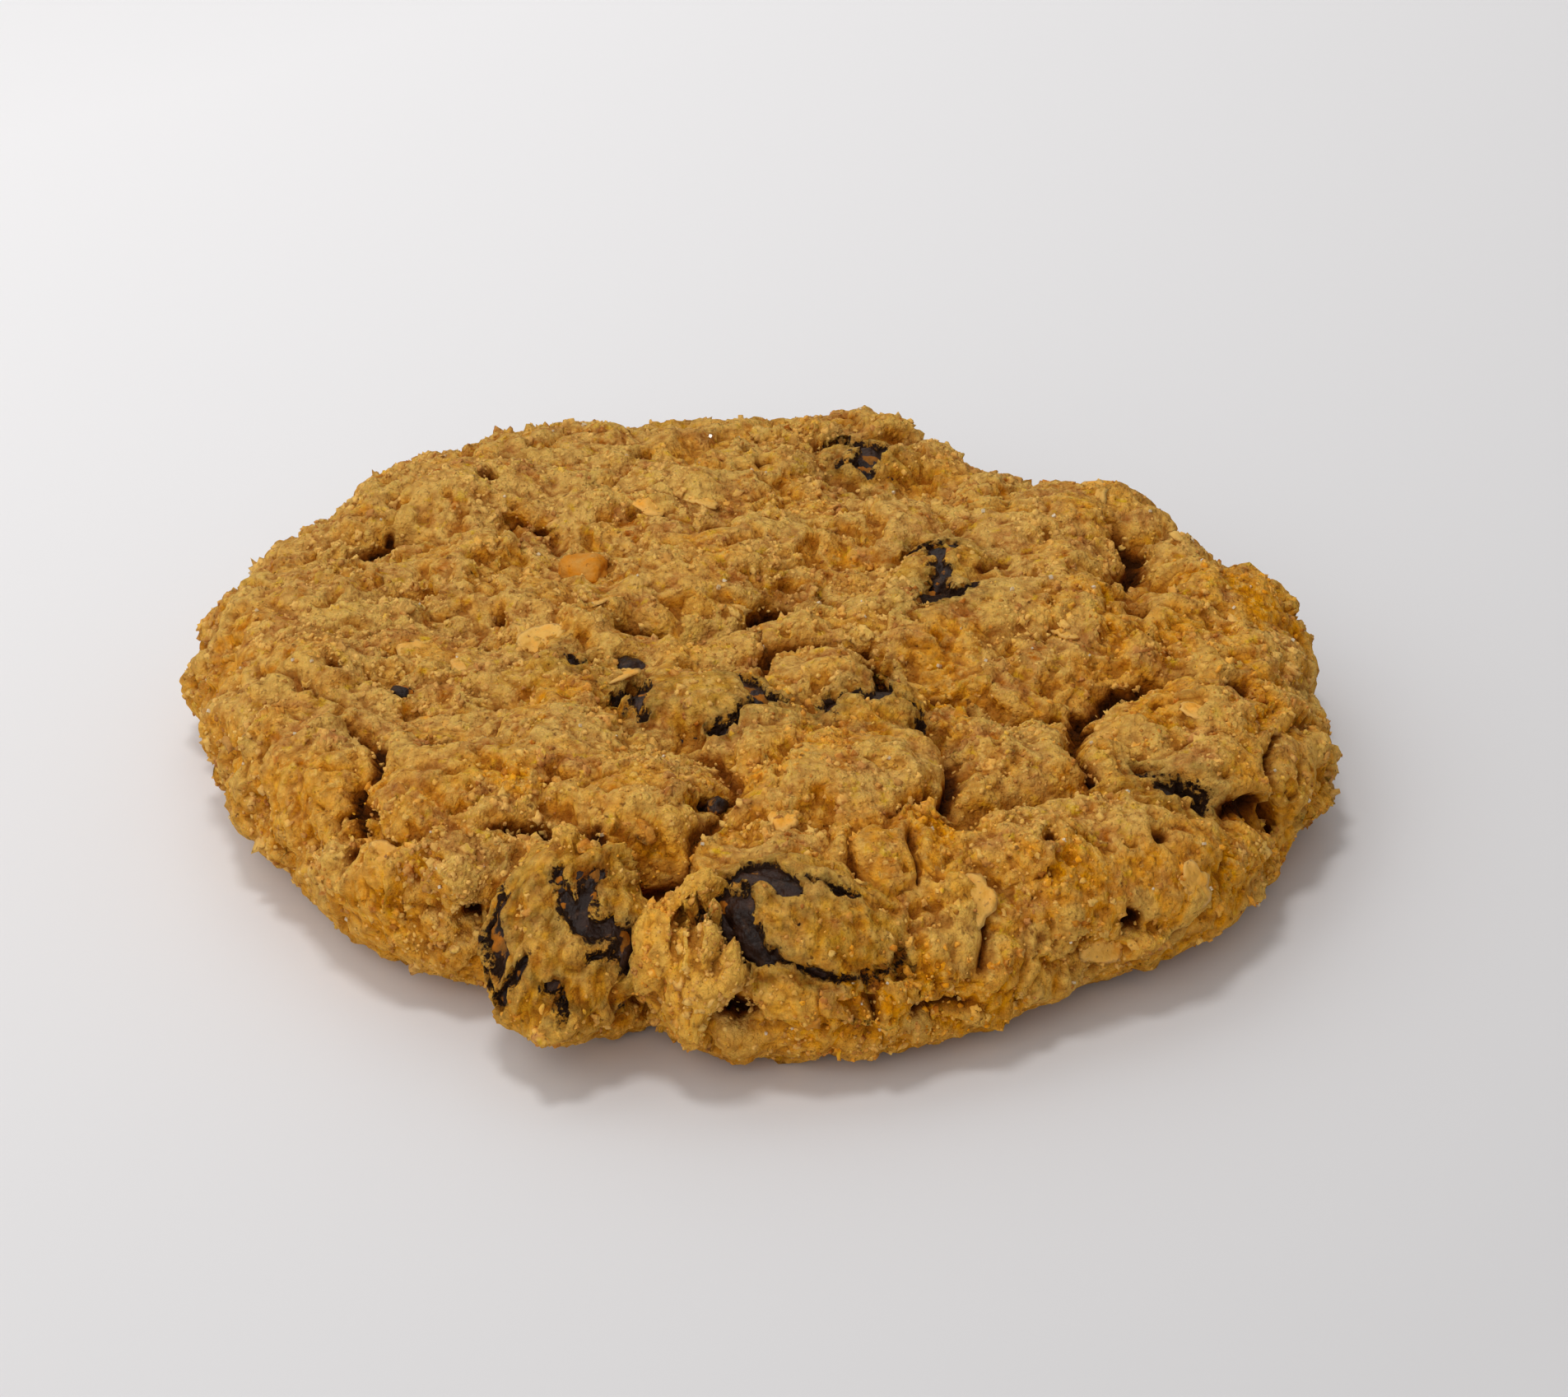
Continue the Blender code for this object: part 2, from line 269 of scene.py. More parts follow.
def halvingBand(outer, inner):
    # three triangles for each step between a closed ring and one of half the count
    a, b, c = outer[::2], outer[1::2], np.roll(outer, -2)[::2]
    d, e = inner, np.roll(inner, -1)
    return np.concatenate([np.stack([a, d, b], 1), np.stack([b, d, e], 1), np.stack([b, e, c], 1)])


skinGrid = {"topCells": 280, "rimRings": 10, "lowRings": 5}


def doughSkin():
    # directions, reaches and triangles of the whole closed skin
    # each lower part has half the count of the upper
    count, rings, lowRings = skinGrid["topCells"], skinGrid["rimRings"], skinGrid["lowRings"]
    share, turn, triangles, rim = discSheet(count)
    turns, reaches, faces = [turn], [share * waistReach(turn)], [triangles]
    ringTurn, start, last = turn[rim], len(turn), rim
    for step in range(1, rings + lowRings + 1):
        halved = step == rings + 1
        ringTurn = ringTurn[::2] if halved else ringTurn
        ring = start + np.arange(len(ringTurn))
        turns.append(ringTurn)
        reaches.append(waistReach(ringTurn) + baseRollLength * step / (rings + lowRings))
        faces.append(halvingBand(last, ring) if halved else band(last, ring))
        start, last = start + len(ring), ring
    share, turn, triangles, rim = discSheet(count // 4)
    inner = (rimRadius(turn) - roundForm["baseRoll"]) * (1 - share * 0.988)
    turns.append(turn)
    reaches.append(waistReach(turn) + baseRollLength + inner)
    faces.append(triangles[:, ::-1] + start)
    faces.append(halvingBand(last, rim + start))
    return np.concatenate(turns), np.concatenate(reaches), np.concatenate(faces)


def skinNormals(points, triangles):
    # area-weighted mean of the triangles round each point
    a, b, c = (points[triangles[:, k]] for k in range(3))
    faceNormal = np.cross(b - a, c - a)
    normal = np.zeros_like(points)
    for k in range(3):
        for axis in range(3):
            normal[:, axis] += np.bincount(triangles[:, k], faceNormal[:, axis], len(points))
    return normal / np.linalg.norm(normal, axis=1)[:, None]


def neighbourMean(values, triangles, rounds):
    # each point takes the mean of itself and its neighbours, again and again
    values = values.reshape(len(values), -1)
    count = len(values)
    weight = sum(np.bincount(triangles[:, k], minlength=count) for k in range(3)) * 2.0
    for _ in range(rounds):
        total = np.empty_like(values)
        for axis in range(values.shape[1]):
            one = values[:, axis]
            total[:, axis] = sum(
                np.bincount(triangles[:, k], one[triangles[:, k - 1]] + one[triangles[:, k - 2]], count)
                for k in range(3)
            )
        values = 0.5 * values + 0.5 * total / weight[:, None]
    return values


# Raisins: where each one lies comes from its solid


def raisinFrame(node):
    # middle, axes from longest to shortest, and half sizes of a node's points along them
    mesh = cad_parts[node].data
    points = np.empty(len(mesh.vertices) * 3)
    mesh.vertices.foreach_get("co", points)
    points = points.reshape(-1, 3) / mm
    middle = (points.min(0) + points.max(0)) / 2
    _, axes = np.linalg.eigh(np.cov((np.unique(points.round(4), axis=0) - middle).T))
    axes = axes[:, ::-1].T
    axes[2] = np.cross(axes[0], axes[1])
    along = (points - middle) @ axes.T
    middle = middle + (along.max(0) + along.min(0)) / 2 @ axes
    return middle, axes, (along.max(0) - along.min(0)) / 2


raisinNodes = sorted(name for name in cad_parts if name.startswith("raisin"))
raisinFrames = {name: raisinFrame(name) for name in raisinNodes}


def outOfRaisin(points, directions, middle, axes, half):
    # how far along its direction each point's line leaves the ellipsoid, or -9 where it misses
    p = (points - middle) @ axes.T / half
    d = directions @ axes.T / half
    a, b, c = (d * d).sum(1), (p * d).sum(1), (p * p).sum(1) - 1
    inside = b * b - a * c
    return np.where(inside > 0, (-b + np.sqrt(np.maximum(inside, 0))) / a, -9.0)


# Relief of the dough, in four passes; each stands on the normals of the one before

creases = [
    # start, end, bow, half width, depth
    ((-9, -0.9), (-3.2, -2.2), -0.1, 0.6, 1.4), ((-3.2, -2.2), (1.2, 1.7), -0.2, 0.6, 1.5),
    ((-2.9, -6.5), (0.4, -4.6), -2.2, 0.5, 0.9), ((0.4, -4.6), (6.5, -4.7), 1.0, 0.5, 1.2),
    ((7.5, -6.4), (15.5, -12.3), 0.3, 0.6, 1.4), ((11.7, 2.3), (16.5, 6.4), 0.1, 0.5, 0.9),
    ((-31.4, 11.2), (-22.6, 11.7), 2.1, 0.5, 0.8), ((-19, 11), (-14.9, 12.1), 2.6, 0.4, 0.7),
    ((-34.4, -4.5), (-27, -11.5), -0.4, 0.4, 0.5), ((-26.3, -14.4), (-25.5, -21.1), 1.1, 0.5, 1.0),
    ((-25.5, -21.1), (-26.9, -25.6), 0.4, 0.5, 1.0), ((-26.3, -22.9), (-24.6, -24), 0.6, 0.5, 0.9),
    ((-3.9, -18.2), (-2.7, -26.3), 1.2, 0.6, 0.6), ((-2.7, -26.3), (-7.0, -33.0), 0.7, 0.8, 0.7),
    ((-6.2, -34.3), (-7.4, -42.9), -1.5, 0.6, 0.6), ((13.7, -26.1), (23.3, -21), 0.8, 0.5, 1.1),
    ((23.3, -21), (28, -22.3), 0.9, 0.6, 1.4), ((28, -22.3), (34.9, -19.9), -0.4, 0.5, 1.2),
    ((34.3, -14.1), (37.1, -19.4), -1.6, 0.5, 1.1), ((11.1, -15.2), (12.4, -23.8), 1.1, 0.5, 1.1),
    ((8.3, -26.7), (11.8, -23.8), 0.2, 0.4, 0.7), ((14.8, -12), (21.1, -12.5), 0.8, 0.5, 1.1),
    ((21.1, -12.5), (27.9, -7.2), 1.3, 0.5, 1.1), ((21.1, -12.5), (22.5, -20.8), -1.3, 0.5, 1.2),
    ((14.3, -34), (14.7, -37.8), 0.2, 0.45, 0.7), ((10.9, -42), (15.2, -40.6), 0, 0.5, 1.0),
    ((-5.3, -18), (-8.3, -15.6), -0.1, 0.5, 0.9), ((6, -29.1), (6.8, -33.1), -0.3, 0.35, 0.7),
    ((9.6, -29.1), (9.8, -32.5), 0.1, 0.35, 0.7), ((-15.8, -27), (-9.4, -30.5), 1.3, 0.5, 1.2),
    ((25.6, 13.6), (25, 5.7), 1.1, 0.6, 1.3), ((-17.6, -15.2), (-22.1, -17.1), 1.1, 0.5, 1.0),
]
pits = [
    # x, y laid flat, radius, depth
    (-26.6, 14.1, 0.6, 1.0), (-15.7, 13.3, 0.6, 0.8), (-20, 19, 0.8, 1.2), (-18.5, 24.5, 1.2, 1.2),
    (-18.2, 1.3, 0.7, 0.9), (-28.8, -7, 0.8, 1.0), (-22.1, -14.5, 0.7, 1.0), (-18.9, -32.3, 0.8, 1.2),
    (-30.7, -26.3, 0.8, 1.2), (-8.9, 25, 0.8, 1.1), (0.1, 22.3, 0.8, 1.1), (4.6, 3.3, 0.6, 0.8),
    (-6.5, 9.1, 0.8, 0.9), (-3.4, 12.2, 1.3, 0.9), (26.5, 11.6, 1.2, 1.2), (31.9, -8.4, 0.9, 1.3),
    (34.3, -13.8, 0.7, 1.1), (25.2, -18.6, 0.8, 1.2), (26.3, -20.2, 0.8, 1.2), (24.4, -32.1, 1.0, 2.2),
    (18.3, -28.6, 0.7, 1.0), (25.1, -26.5, 0.7, 0.9), (-1.1, -42.7, 1.3, 1.4), (7.4, -42, 0.9, 1.2),
    (-4.6, -23.6, 0.8, 1.2), (2.2, -20, 0.7, 1.0), (26.5, 0.6, 0.8, 1.3), (25.4, 5.8, 0.9, 1.2),
    (12, 3.1, 0.6, 1.1), (-9.0, -5.5, 1.0, 1.4), (-2.8, -24.3, 0.9, 1.4), (-24.3, -9, 0.8, 1.2),
    (-10.2, -33.5, 1.5, 1.9), (-9.0, -32.6, 1.1, 1.4),
]
# where the raisins' own skin shows, and thin open cracks round them: start, end, bow, half width
tears = [
    # front
    ((-3.2, -34.5), (-1.9, -36.9), 0.2, 1.15), ((-2.3, -35.3), (-0.9, -35.7), 0.0, 0.7),
    ((-0.9, -36.9), (-0.6, -38.6), 0.0, 1.0), ((-0.6, -38.6), (0.8, -39.3), -0.1, 0.8),
    ((-1.6, -33.9), (0.0, -33.2), 0.1, 0.7), ((0.0, -33.4), (1.8, -33.9), 0.1, 1.05),
    ((1.8, -34.0), (1.6, -34.8), 0.0, 0.4), ((0.6, -39.0), (3.3, -40.1), -0.1, 0.3),
    ((3.3, -40.1), (7.0, -39.5), -0.1, 0.3), ((7.0, -39.5), (9.1, -38.0), -0.3, 0.14),
    ((2.9, -33.9), (4.6, -34.4), 0.0, 0.22), ((4.6, -34.4), (6.2, -34.8), 0.0, 0.4),
    ((1.9, -36.6), (2.3, -36.9), 0.0, 0.3),
    # front left
    ((-17.3, -32.2), (-16.0, -35.4), 0.1, 0.22), ((-15.6, -30.9), (-14.9, -32.4), 0.0, 0.3),
    ((-14.9, -32.4), (-15.6, -33.2), 0.0, 0.3), ((-15.6, -33.2), (-15.2, -34.9), 0.0, 0.42),
    ((-12.1, -32.6), (-11.9, -34.0), 0.0, 0.45), ((-11.9, -34.0), (-10.5, -36.1), -0.2, 0.52),
    ((-10.5, -36.1), (-8.4, -35.5), -0.15, 0.52), ((-8.5, -35.4), (-8.5, -36.4), 0.0, 0.6),
    ((-8.5, -36.2), (-8.1, -36.8), 0.0, 0.65), ((-10.2, -37.9), (-8.7, -37.0), 0.0, 0.24),
    ((-15.5, -36.4), (-14.1, -36.4), 0.0, 0.42), ((-12.8, -38.4), (-12.3, -38.5), 0.0, 0.35),
    ((-11.9, -39.6), (-11.3, -40.1), 0.0, 0.22), ((-8.6, -39.6), (-8.2, -41.2), 0.0, 0.26),
    # middle
    ((-2.6, -8.6), (-0.6, -10.8), -0.2, 0.62), ((-0.6, -10.8), (0.8, -12.8), 0.0, 0.6),
    ((1.0, -12.6), (-0.9, -14.4), 0.0, 0.68), ((-0.9, -14.4), (-2.9, -16.0), 0.0, 0.64),
    ((-8.8, -9.6), (-7.7, -11.4), 0.0, 0.62), ((-7.7, -13.0), (-7.4, -13.9), 0.0, 0.4),
    ((-7.2, -8.6), (-2.6, -8.2), 0.6, 0.26),
    # middle right
    ((4.2, -14.3), (5.2, -11.3), 0.3, 0.64), ((5.2, -11.3), (7.6, -12.0), 0.3, 0.66),
    ((7.6, -12.0), (8.1, -9.2), -0.1, 0.6), ((9.8, -12.2), (10.6, -13.8), 0.2, 0.36),
    # upper right
    ((10.3, 8.6), (13.8, 8.5), 0.2, 0.34), ((11.5, 8.0), (12.4, 4.6), 0.4, 0.55),
    ((12.4, 4.6), (11.9, 0.1), 0.3, 0.65), ((11.9, 0.1), (14.6, 1.8), -0.2, 0.34),
    # back, right, left, rim at the back
    ((6.0, 26.6), (7.2, 26.9), 0.0, 0.9), ((7.6, 25.2), (9.0, 25.0), 0.0, 0.8),
    ((5.8, 23.0), (7.6, 22.2), 0.2, 0.6),
    ((24.8, -19.6), (27.2, -19.6), 0.2, 0.4), ((26.7, -20.3), (29.3, -21.2), 0.1, 0.75),
    ((-14.4, -5.2), (-13.6, -5.0), 0.0, 0.36), ((-12.9, -6.0), (-12.2, -7.4), 0.0, 0.32),
    ((-12.5, 39.5), (-6.5, 41.0), 0.6, 0.9), ((-12.0, 36.0), (-13.4, 38.6), 0.3, 0.5),
]
# small steep lumps: x, y laid flat, half length, half width, turn in degrees, height
lobes = [
    (-4.6, -29.0, 2.6, 2.0, 70, 0.7), (-12.2, -40.6, 2.0, 1.2, -14, 1.4),
    (-10.9, -37.4, 0.9, 0.7, 10, 0.6), (-14.2, -37.0, 0.8, 1.6, 10, 0.5),
    (1.8, -42.2, 2.3, 1.6, 0, 0.7), (7.6, -43.0, 2.4, 1.4, 8, 0.7), (-11.4, -29.6, 0.8, 1.5, 20, 1.0),
    (12.6, -33.4, 1.9, 2.3, 20, 0.7), (26.6, -33.2, 2.2, 1.2, 50, 0.6), (38.0, -16.0, 1.8, 1.8, 0, 0.8),
    (-33.6, -12.6, 1.6, 1.2, 30, 0.7), (-36.5, -17.5, 1.5, 1.1, 40, 0.6), (9.5, 29.5, 2.4, 1.8, 10, 0.8),
]
# dough pushed up between the two front raisins: the same, with a height over the plain round
mounds = [
    (-6.5, -36.6, 1.6, 2.6, 6, 3.3), (-4.4, -38.2, 0.9, 1.9, 0, 2.9), (-3.1, -38.0, 0.8, 2.0, -6, 2.7),
    (-2.0, -39.6, 0.6, 1.7, -10, 1.7), (-5.2, -40.8, 3.2, 4.4, 0, 2.4), (-4.7, -34.4, 2.5, 1.4, 14, 2.0),
]
# patches where the film has peeled: x, y laid flat, radius
peels = [(-10.3, -34.5, 2.0), (-1.1, -34.8, 1.2), (7.2, 24.6, 2.2), (-7.6, -12.4, 1.1)]
# where the film over a raisin stays smooth: x, y laid flat, half length, half width, turn in degrees, share
smoothFilms = [
    (-4.6, -11.4, 5.0, 3.2, -6, 1.0), (7.4, -13.6, 3.0, 2.4, 20, 0.6), (2.6, -37.2, 4.4, 2.8, -10, 0.5),
]
relief = {
    "clumpCell": 5.2, "clumpHeight": 0.35, "clumpGroove": 0.15,
    "billows": [(5.4, 1.7), (2.6, 0.55)],  # cell, height
    "swells": [(9.0, 0.4), (2.0, 0.26), (1.1, 0.18)],
    "calmCell": 6.0,
    "tornCell": 3.2, "tornDepth": 0.6, "tornEdge": (0.26, 0.44),
    "creaseWiden": 0.8, "creaseDeepen": 1.9, "pitWiden": 0.85, "pitDeepen": 1.6,
    "knobCell": 1.25, "knobHeight": 0.2, "edgeCell": 1.5, "edgeHeight": 0.3,
    "grainCell": 0.75, "grainHeight": 0.15,
    "holeCell": 3.9, "holeShare": 0.3, "holeDepth": 1.0,
    "filmThickness": 0.28, "skinClear": 0.65, "crackDepth": 0.9,
    "softTop": (12.9, 1.3),  # height where pressing down starts, room above it
    "tearReach": 2.4,  # how far round a tear the dough is dark
    "creaseRounds": 6, "creaseFull": 0.09, "hollowRounds": 60, "hollowFull": 0.55,
}
flakes = {
    "count": 150, "seed": 12, "reach": 46,
    "length": (2.4, 5.6), "widthShare": (0.6, 0.85), "thick": (0.12, 0.3),
    "named": [
        (-27.6, 1.6, 4.0, 2.8, 0.2, 0.3), (-8, 15.9, 2.2, 1.7, 0.5, 0.3), (-4.2, 16.6, 2.0, 1.6, 2.0, 0.3),
    ],
}


def flakeOvals():
    # seeded ovals strewn evenly over the laid-flat disc: x, y, half length, half width, turn, height
    draw = np.random.default_rng(flakes["seed"])
    count = flakes["count"]
    reach, turn = flakes["reach"] * np.sqrt(draw.random(count)), draw.random(count) * 2 * math.pi
    half = draw.uniform(*flakes["length"], count) / 2
    halfWidth = half * draw.uniform(*flakes["widthShare"], count)
    spin, thick = draw.random(count) * math.pi, draw.uniform(*flakes["thick"], count)
    strewn = np.stack([reach * np.cos(turn), reach * np.sin(turn), half, halfWidth, spin, thick], 1)
    return np.concatenate([strewn, np.array(flakes["named"])])


def flakeRelief(flat, wobble):
    # each oval stands up as a thin plate with a sharp edge; also gives how much of a point is flake
    height, cover = np.zeros(len(flat)), np.zeros(len(flat))
    for x, y, halfLength, halfWidth, turn, thick in flakeOvals():
        dx, dy = flat[:, 0] - x, flat[:, 1] - y
        near = np.flatnonzero(dx * dx + dy * dy < (halfLength * 1.4) ** 2)
        along = (dx[near] * math.cos(turn) + dy[near] * math.sin(turn)) / halfLength
        aside = (dy[near] * math.cos(turn) - dx[near] * math.sin(turn)) / halfWidth
        edge = np.sqrt(along**2 + aside**2) + 0.3 * wobble[near]
        plate = 1 - rise(0.86, 1.04, edge)
        tilt = 1 + 0.8 * along
        height[near] = np.maximum(height[near], plate * thick * tilt)
        cover[near] = np.maximum(cover[near], plate * rise(-0.9, 0.2, tilt - 0.6))
    return height, cover


def softMax(one, other, width):
    # the larger of two, rounded over where they differ by less than width
    near = np.maximum(width - np.abs(one - other), 0) / width
    return np.maximum(one, other) + near * near * width / 4


def tearDepth(flat, patchy):
    # how many millimetres inside any of the bowed strokes or peeled patches, which a noise makes patchy
    inside = np.full(len(flat), -9.0)
    for start, end, bow, halfWidth in tears:
        aside, past = fromBow(flat, start, end, bow)
        inside = np.maximum(inside, halfWidth * (1.04 + 0.8 * patchy) - np.hypot(aside, past))
    for x, y, radius in peels:
        away = np.hypot(flat[:, 0] - x, flat[:, 1] - y) / radius
        inside = np.maximum(inside, 0.9 * patchy + 0.45 - away)
    return inside


def lobeHeight(flat, wobble):
    # each lobe is a cap that stays high and then drops steeply at its edge
    height = np.zeros(len(flat))
    for *oval, high in lobes:
        away = np.hypot(*acrossOval(flat, *oval)) + 0.13 * wobble
        height = np.maximum(height, high * (1 - 0.3 * away**2) * (1 - rise(0.6, 1.15, away)))
    return height


def moundTop(flat, wobble):
    # the highest of the mounds, each a cap that sinks away steeply past its edge
    top = np.full(len(flat), -9.0)
    for *oval, high in mounds:
        away = np.hypot(*acrossOval(flat, *oval)) + 0.13 * wobble
        top = np.maximum(top, high * (1 - 0.4 * away**2) - 6 * rise(0.85, 1.5, away))
    return top


def raisinTop(points, normals):
    # how far each point's line along its normal rises out of the raisin it meets
    return np.max([outOfRaisin(points, normals, *raisinFrames[name]) for name in raisinNodes], axis=0)


def makeDough():
    turn, reach, triangles = doughSkin()
    place, normal = roundSkin(turn, reach)
    waist = waistReach(turn)
    below = reach > waist
    flat = laidFlat(turn, reach)
    print("dough skin:", len(place), "points,", len(triangles), "triangles")

    # every point moves out along one smooth direction, level below the waist, so nothing folds over
    formReach = np.minimum(reach, waist)
    formPlace, formNormal = roundSkin(turn, formReach)
    direction = np.where(below[:, None], formNormal * [1, 1, 0], normal)
    flatShare = np.where(below, normal[:, 0] ** 2 + normal[:, 1] ** 2, 1)

    # how much relief a point takes: all of it on the top and rim, a little on the base
    live = np.where(below, np.clip(1 - (reach - waist) / baseRollLength, 0, 1) ** 0.5, 1)
    isRim = rise(0.75, 0.25, normal[:, 2]) * live
    soft = stirred(place, 1.1, 3.6, 101)
    ragged = stirred(soft, 0.4, 1.1, 202)
    raggedFlat = flat + (ragged - place)[:, :2] * 0.6
    rough = rise(-0.4, 0.3, ripple(place, 9.0, 55) + 0.3 * isRim)

    # pass 1: the solid's own form, lobes and mounds
    # the dough drapes over the raisins, torn open in the strokes
    height = formHeight(laidFlat(turn, formReach), formPlace) * flatShare
    top = raisinTop(place, direction)
    film = top + relief["filmThickness"]
    thin = rise(-0.5, 0.1, film - height)
    lobe = lobeHeight(raggedFlat, ripple(place, 1.0, 88)) * live
    draped = softMax(height, film, 0.5) + lobe
    mound = moundTop(raggedFlat, ripple(place, 1.3, 86))
    isMound = rise(-0.3, 0.4, mound - draped) * live
    draped = softMax(draped, np.where(live > 0, mound, -9.0), 0.4)
    inside = tearDepth(raggedFlat, ripple(ragged, 1.6, 91) + 0.4 * ripple(ragged, 0.8, 92)) - 3 * isMound
    tear = np.clip(inside + 0.5, 0, 1)
    bare = rise(0.5, 0.75, tear)
    under = np.where(top > height - 2.3, top - relief["skinClear"], draped - relief["crackDepth"])
    height = draped + (np.minimum(draped, under) - draped) * bare
    points = place + direction * height[:, None]
    print("form and film done")

    # pass 2: soft clumps, billows with sharp valleys, swells, torn patches, named creases and pits, flakes
    first, second, number = pebbles(soft, relief["clumpCell"], 17)
    height = relief["clumpHeight"] * (0.55 - first**2 + 0.8 * (number - 0.5))
    height = height - relief["clumpGroove"] * (1 - rise(0.0, 0.25, second - first)) * rough
    # smooth dough, against crumbly
    isLobe = np.maximum(rise(0.2, 0.9, lobe), isMound)
    calm = rise(0.25, -0.25, ripple(place, relief["calmCell"], 57)) * (1 - isLobe) * (1 - 0.6 * thin)
    valley = np.zeros(len(points))
    for seed, (cell, high) in enumerate(relief["billows"]):
        side = ripple(soft, cell, 171 + seed)
        billow = high * ((side**2 + 0.002 + 0.03 * calm) ** 0.35 - 0.45)
        height = height + billow * (1 - 0.6 * thin) * (1 - 0.65 * isLobe)
        valley = np.maximum(valley, (1 - rise(0.0, 0.11, np.abs(side))) * (1 - calm) * (1 - isLobe) * high)
    for seed, (cell, high) in enumerate(relief["swells"]):
        height = height + high * ripple(soft, cell, 71 + seed)
    patch = ripple(ragged, relief["tornCell"], 81) + 0.45 * ripple(ragged, relief["tornCell"] * 0.4, 82)
    torn = rise(*relief["tornEdge"], patch + 0.12 * rough) * (1 - isMound)
    cut = np.zeros(len(points))
    for start, end, bow, halfWidth, depth in creases:
        aside, past = fromBow(raggedFlat, start, end, bow)
        fade = np.exp(-np.abs(aside) / halfWidth / relief["creaseWiden"] - (past / 0.9) ** 2)
        cut = np.maximum(cut, relief["creaseDeepen"] * depth * fade)
    for x, y, radius, depth in pits:
        away = np.hypot(raggedFlat[:, 0] - x, raggedFlat[:, 1] - y) / radius / relief["pitWiden"]
        cut = np.maximum(cut, relief["pitDeepen"] * depth * np.exp(-(away**3)))
    first, _, number = pebbles(ragged, relief["holeCell"], 29)
    hole = relief["holeDepth"] * np.exp(-((first / (0.14 + 0.16 * number)) ** 3))
    hole = hole * (number < relief["holeShare"])
    cut = np.maximum(cut, hole * (0.4 + 0.6 * rough)) * (1 - 0.7 * thin) * (1 - 0.9 * isMound)
    # how dark the cuts are painted: painted shade in the creases, pits, holes and valleys
    cutShade = np.clip(np.maximum(cut / 1.3, 0.3 * valley * (1 - thin)), 0, 1)
    cut = np.maximum(cut, relief["tornDepth"] * torn * (1 - 0.6 * thin))
    plate, flake = flakeRelief(flat + (soft - place)[:, :2] * 0.3, ripple(place, 1.3, 88))
    smooth = thin * np.clip(sum(domeHeight(flat, *one) for one in smoothFilms), 0, 1)
    crumbly = (1 - 0.8 * smooth) * (0.36 * ripple(ragged, 2.4, 89) + 0.3 * ripple(ragged, 1.1, 90))
    height = (height - cut + plate) * (1 - 0.5 * thin) * (1 - 0.7 * smooth) + crumbly * thin
    normals = skinNormals(points, triangles)
    points = points + normals * (height * live * (1 - bare))[:, None]
    print("clumps, creases and flakes done")

    # pass 3: knobs; pass 4: grain
    normals = skinNormals(points, triangles)
    first, second, number = pebbles(stirred(place, 0.45, 1.1, 303), relief["knobCell"], 41)
    knob = (0.45 - first**2) + 0.5 * (number - 0.5) + 0.5 * (rise(0, 0.2, second - first) - 1)
    amount = live * (1 - bare) * (1 - 0.75 * smooth) * (1 - 0.4 * isLobe)
    amount = amount * (1 - 0.55 * flake) * (1 - 0.1 * thin) * (1 - 0.35 * calm)
    much = (0.7 + 0.4 * rough + 0.3 * isRim + 0.5 * torn) * amount
    edged = 0.3 - np.abs(ripple(ragged, relief["edgeCell"], 63))
    edged = edged - 0.5 * np.abs(ripple(ragged, relief["edgeCell"] / 2, 64))
    height = relief["knobHeight"] * knob + relief["edgeHeight"] * edged
    points = points + normals * (height * much)[:, None]
    normals = skinNormals(points, triangles)
    coarse = ripple(place, relief["grainCell"], 61)
    grain = coarse + 0.6 * np.abs(ripple(place, relief["grainCell"] * 0.62, 62))
    height = relief["grainHeight"] * grain * amount * (0.8 + 0.6 * torn)
    points = points + normals * height[:, None]

    # the highest lumps are pressed down smoothly, and nothing goes under the floor
    start, room = relief["softTop"]
    over = np.maximum(points[:, 2] - start, 0)
    points[:, 2] = np.minimum(points[:, 2], start) + room * np.tanh(over / room)
    points[:, 2] = np.maximum(points[:, 2], 0)

    # how deep each point lies in a crease, read at two widths
    normals = skinNormals(points, triangles)
    near = neighbourMean(points, triangles, relief["creaseRounds"])
    wide = neighbourMean(near, triangles, relief["hollowRounds"])
    tight = ((near - points) * normals).sum(1)
    broad = ((wide - points) * normals).sum(1)
    values = {
        "crease": np.clip(tight / relief["creaseFull"], -1, 1),
        "hollow": np.clip(broad / relief["hollowFull"], -1, 1),
        "flake": flake * live,
        "film": thin * (1 - bare),
        "tear": tear,
        "nearTear": np.clip(1 + inside / relief["tearReach"], 0, 1),
        "calm": calm,
        "lobe": isLobe * live,
        "cutShade": cutShade * live,
        "torn": torn * live,
        "isBase": 1 - live,
    }
    return points, triangles, values, flat


def meshPiece(name, points, triangles, values, smooth=True):
    # points in millimetres and triangles become a mesh object at the origin, values become its attributes
    mesh = bpy.data.meshes.new(name)
    mesh.vertices.add(len(points))
    mesh.vertices.foreach_set("co", (points * mm).ravel())
    mesh.loops.add(len(triangles) * 3)
    mesh.loops.foreach_set("vertex_index", triangles.ravel().astype(np.int32))
    mesh.polygons.add(len(triangles))
    mesh.polygons.foreach_set("loop_start", np.arange(0, len(triangles) * 3, 3, dtype=np.int32))
    mesh.update(calc_edges=True)
    mesh.validate()
    for key, value in values.items():
        mesh.attributes.new(key, "FLOAT", "POINT").data.foreach_set("value", value.astype(np.float32))
    mesh.polygons.foreach_set("use_smooth", np.full(len(triangles), smooth))
    piece = bpy.data.objects.new(name, mesh)
    bpy.context.scene.collection.objects.link(piece)
    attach(piece, "root")
    return piece


doughPoints, doughTriangles, doughValues, doughFlat = makeDough()
dough = meshPiece("bakedDough", doughPoints, doughTriangles, doughValues)
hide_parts("dough")
print("dough made")


# Raisins: ellipsoids on a pole-to-pole grid, furrowed lengthwise, with crumbs of dough stuck on

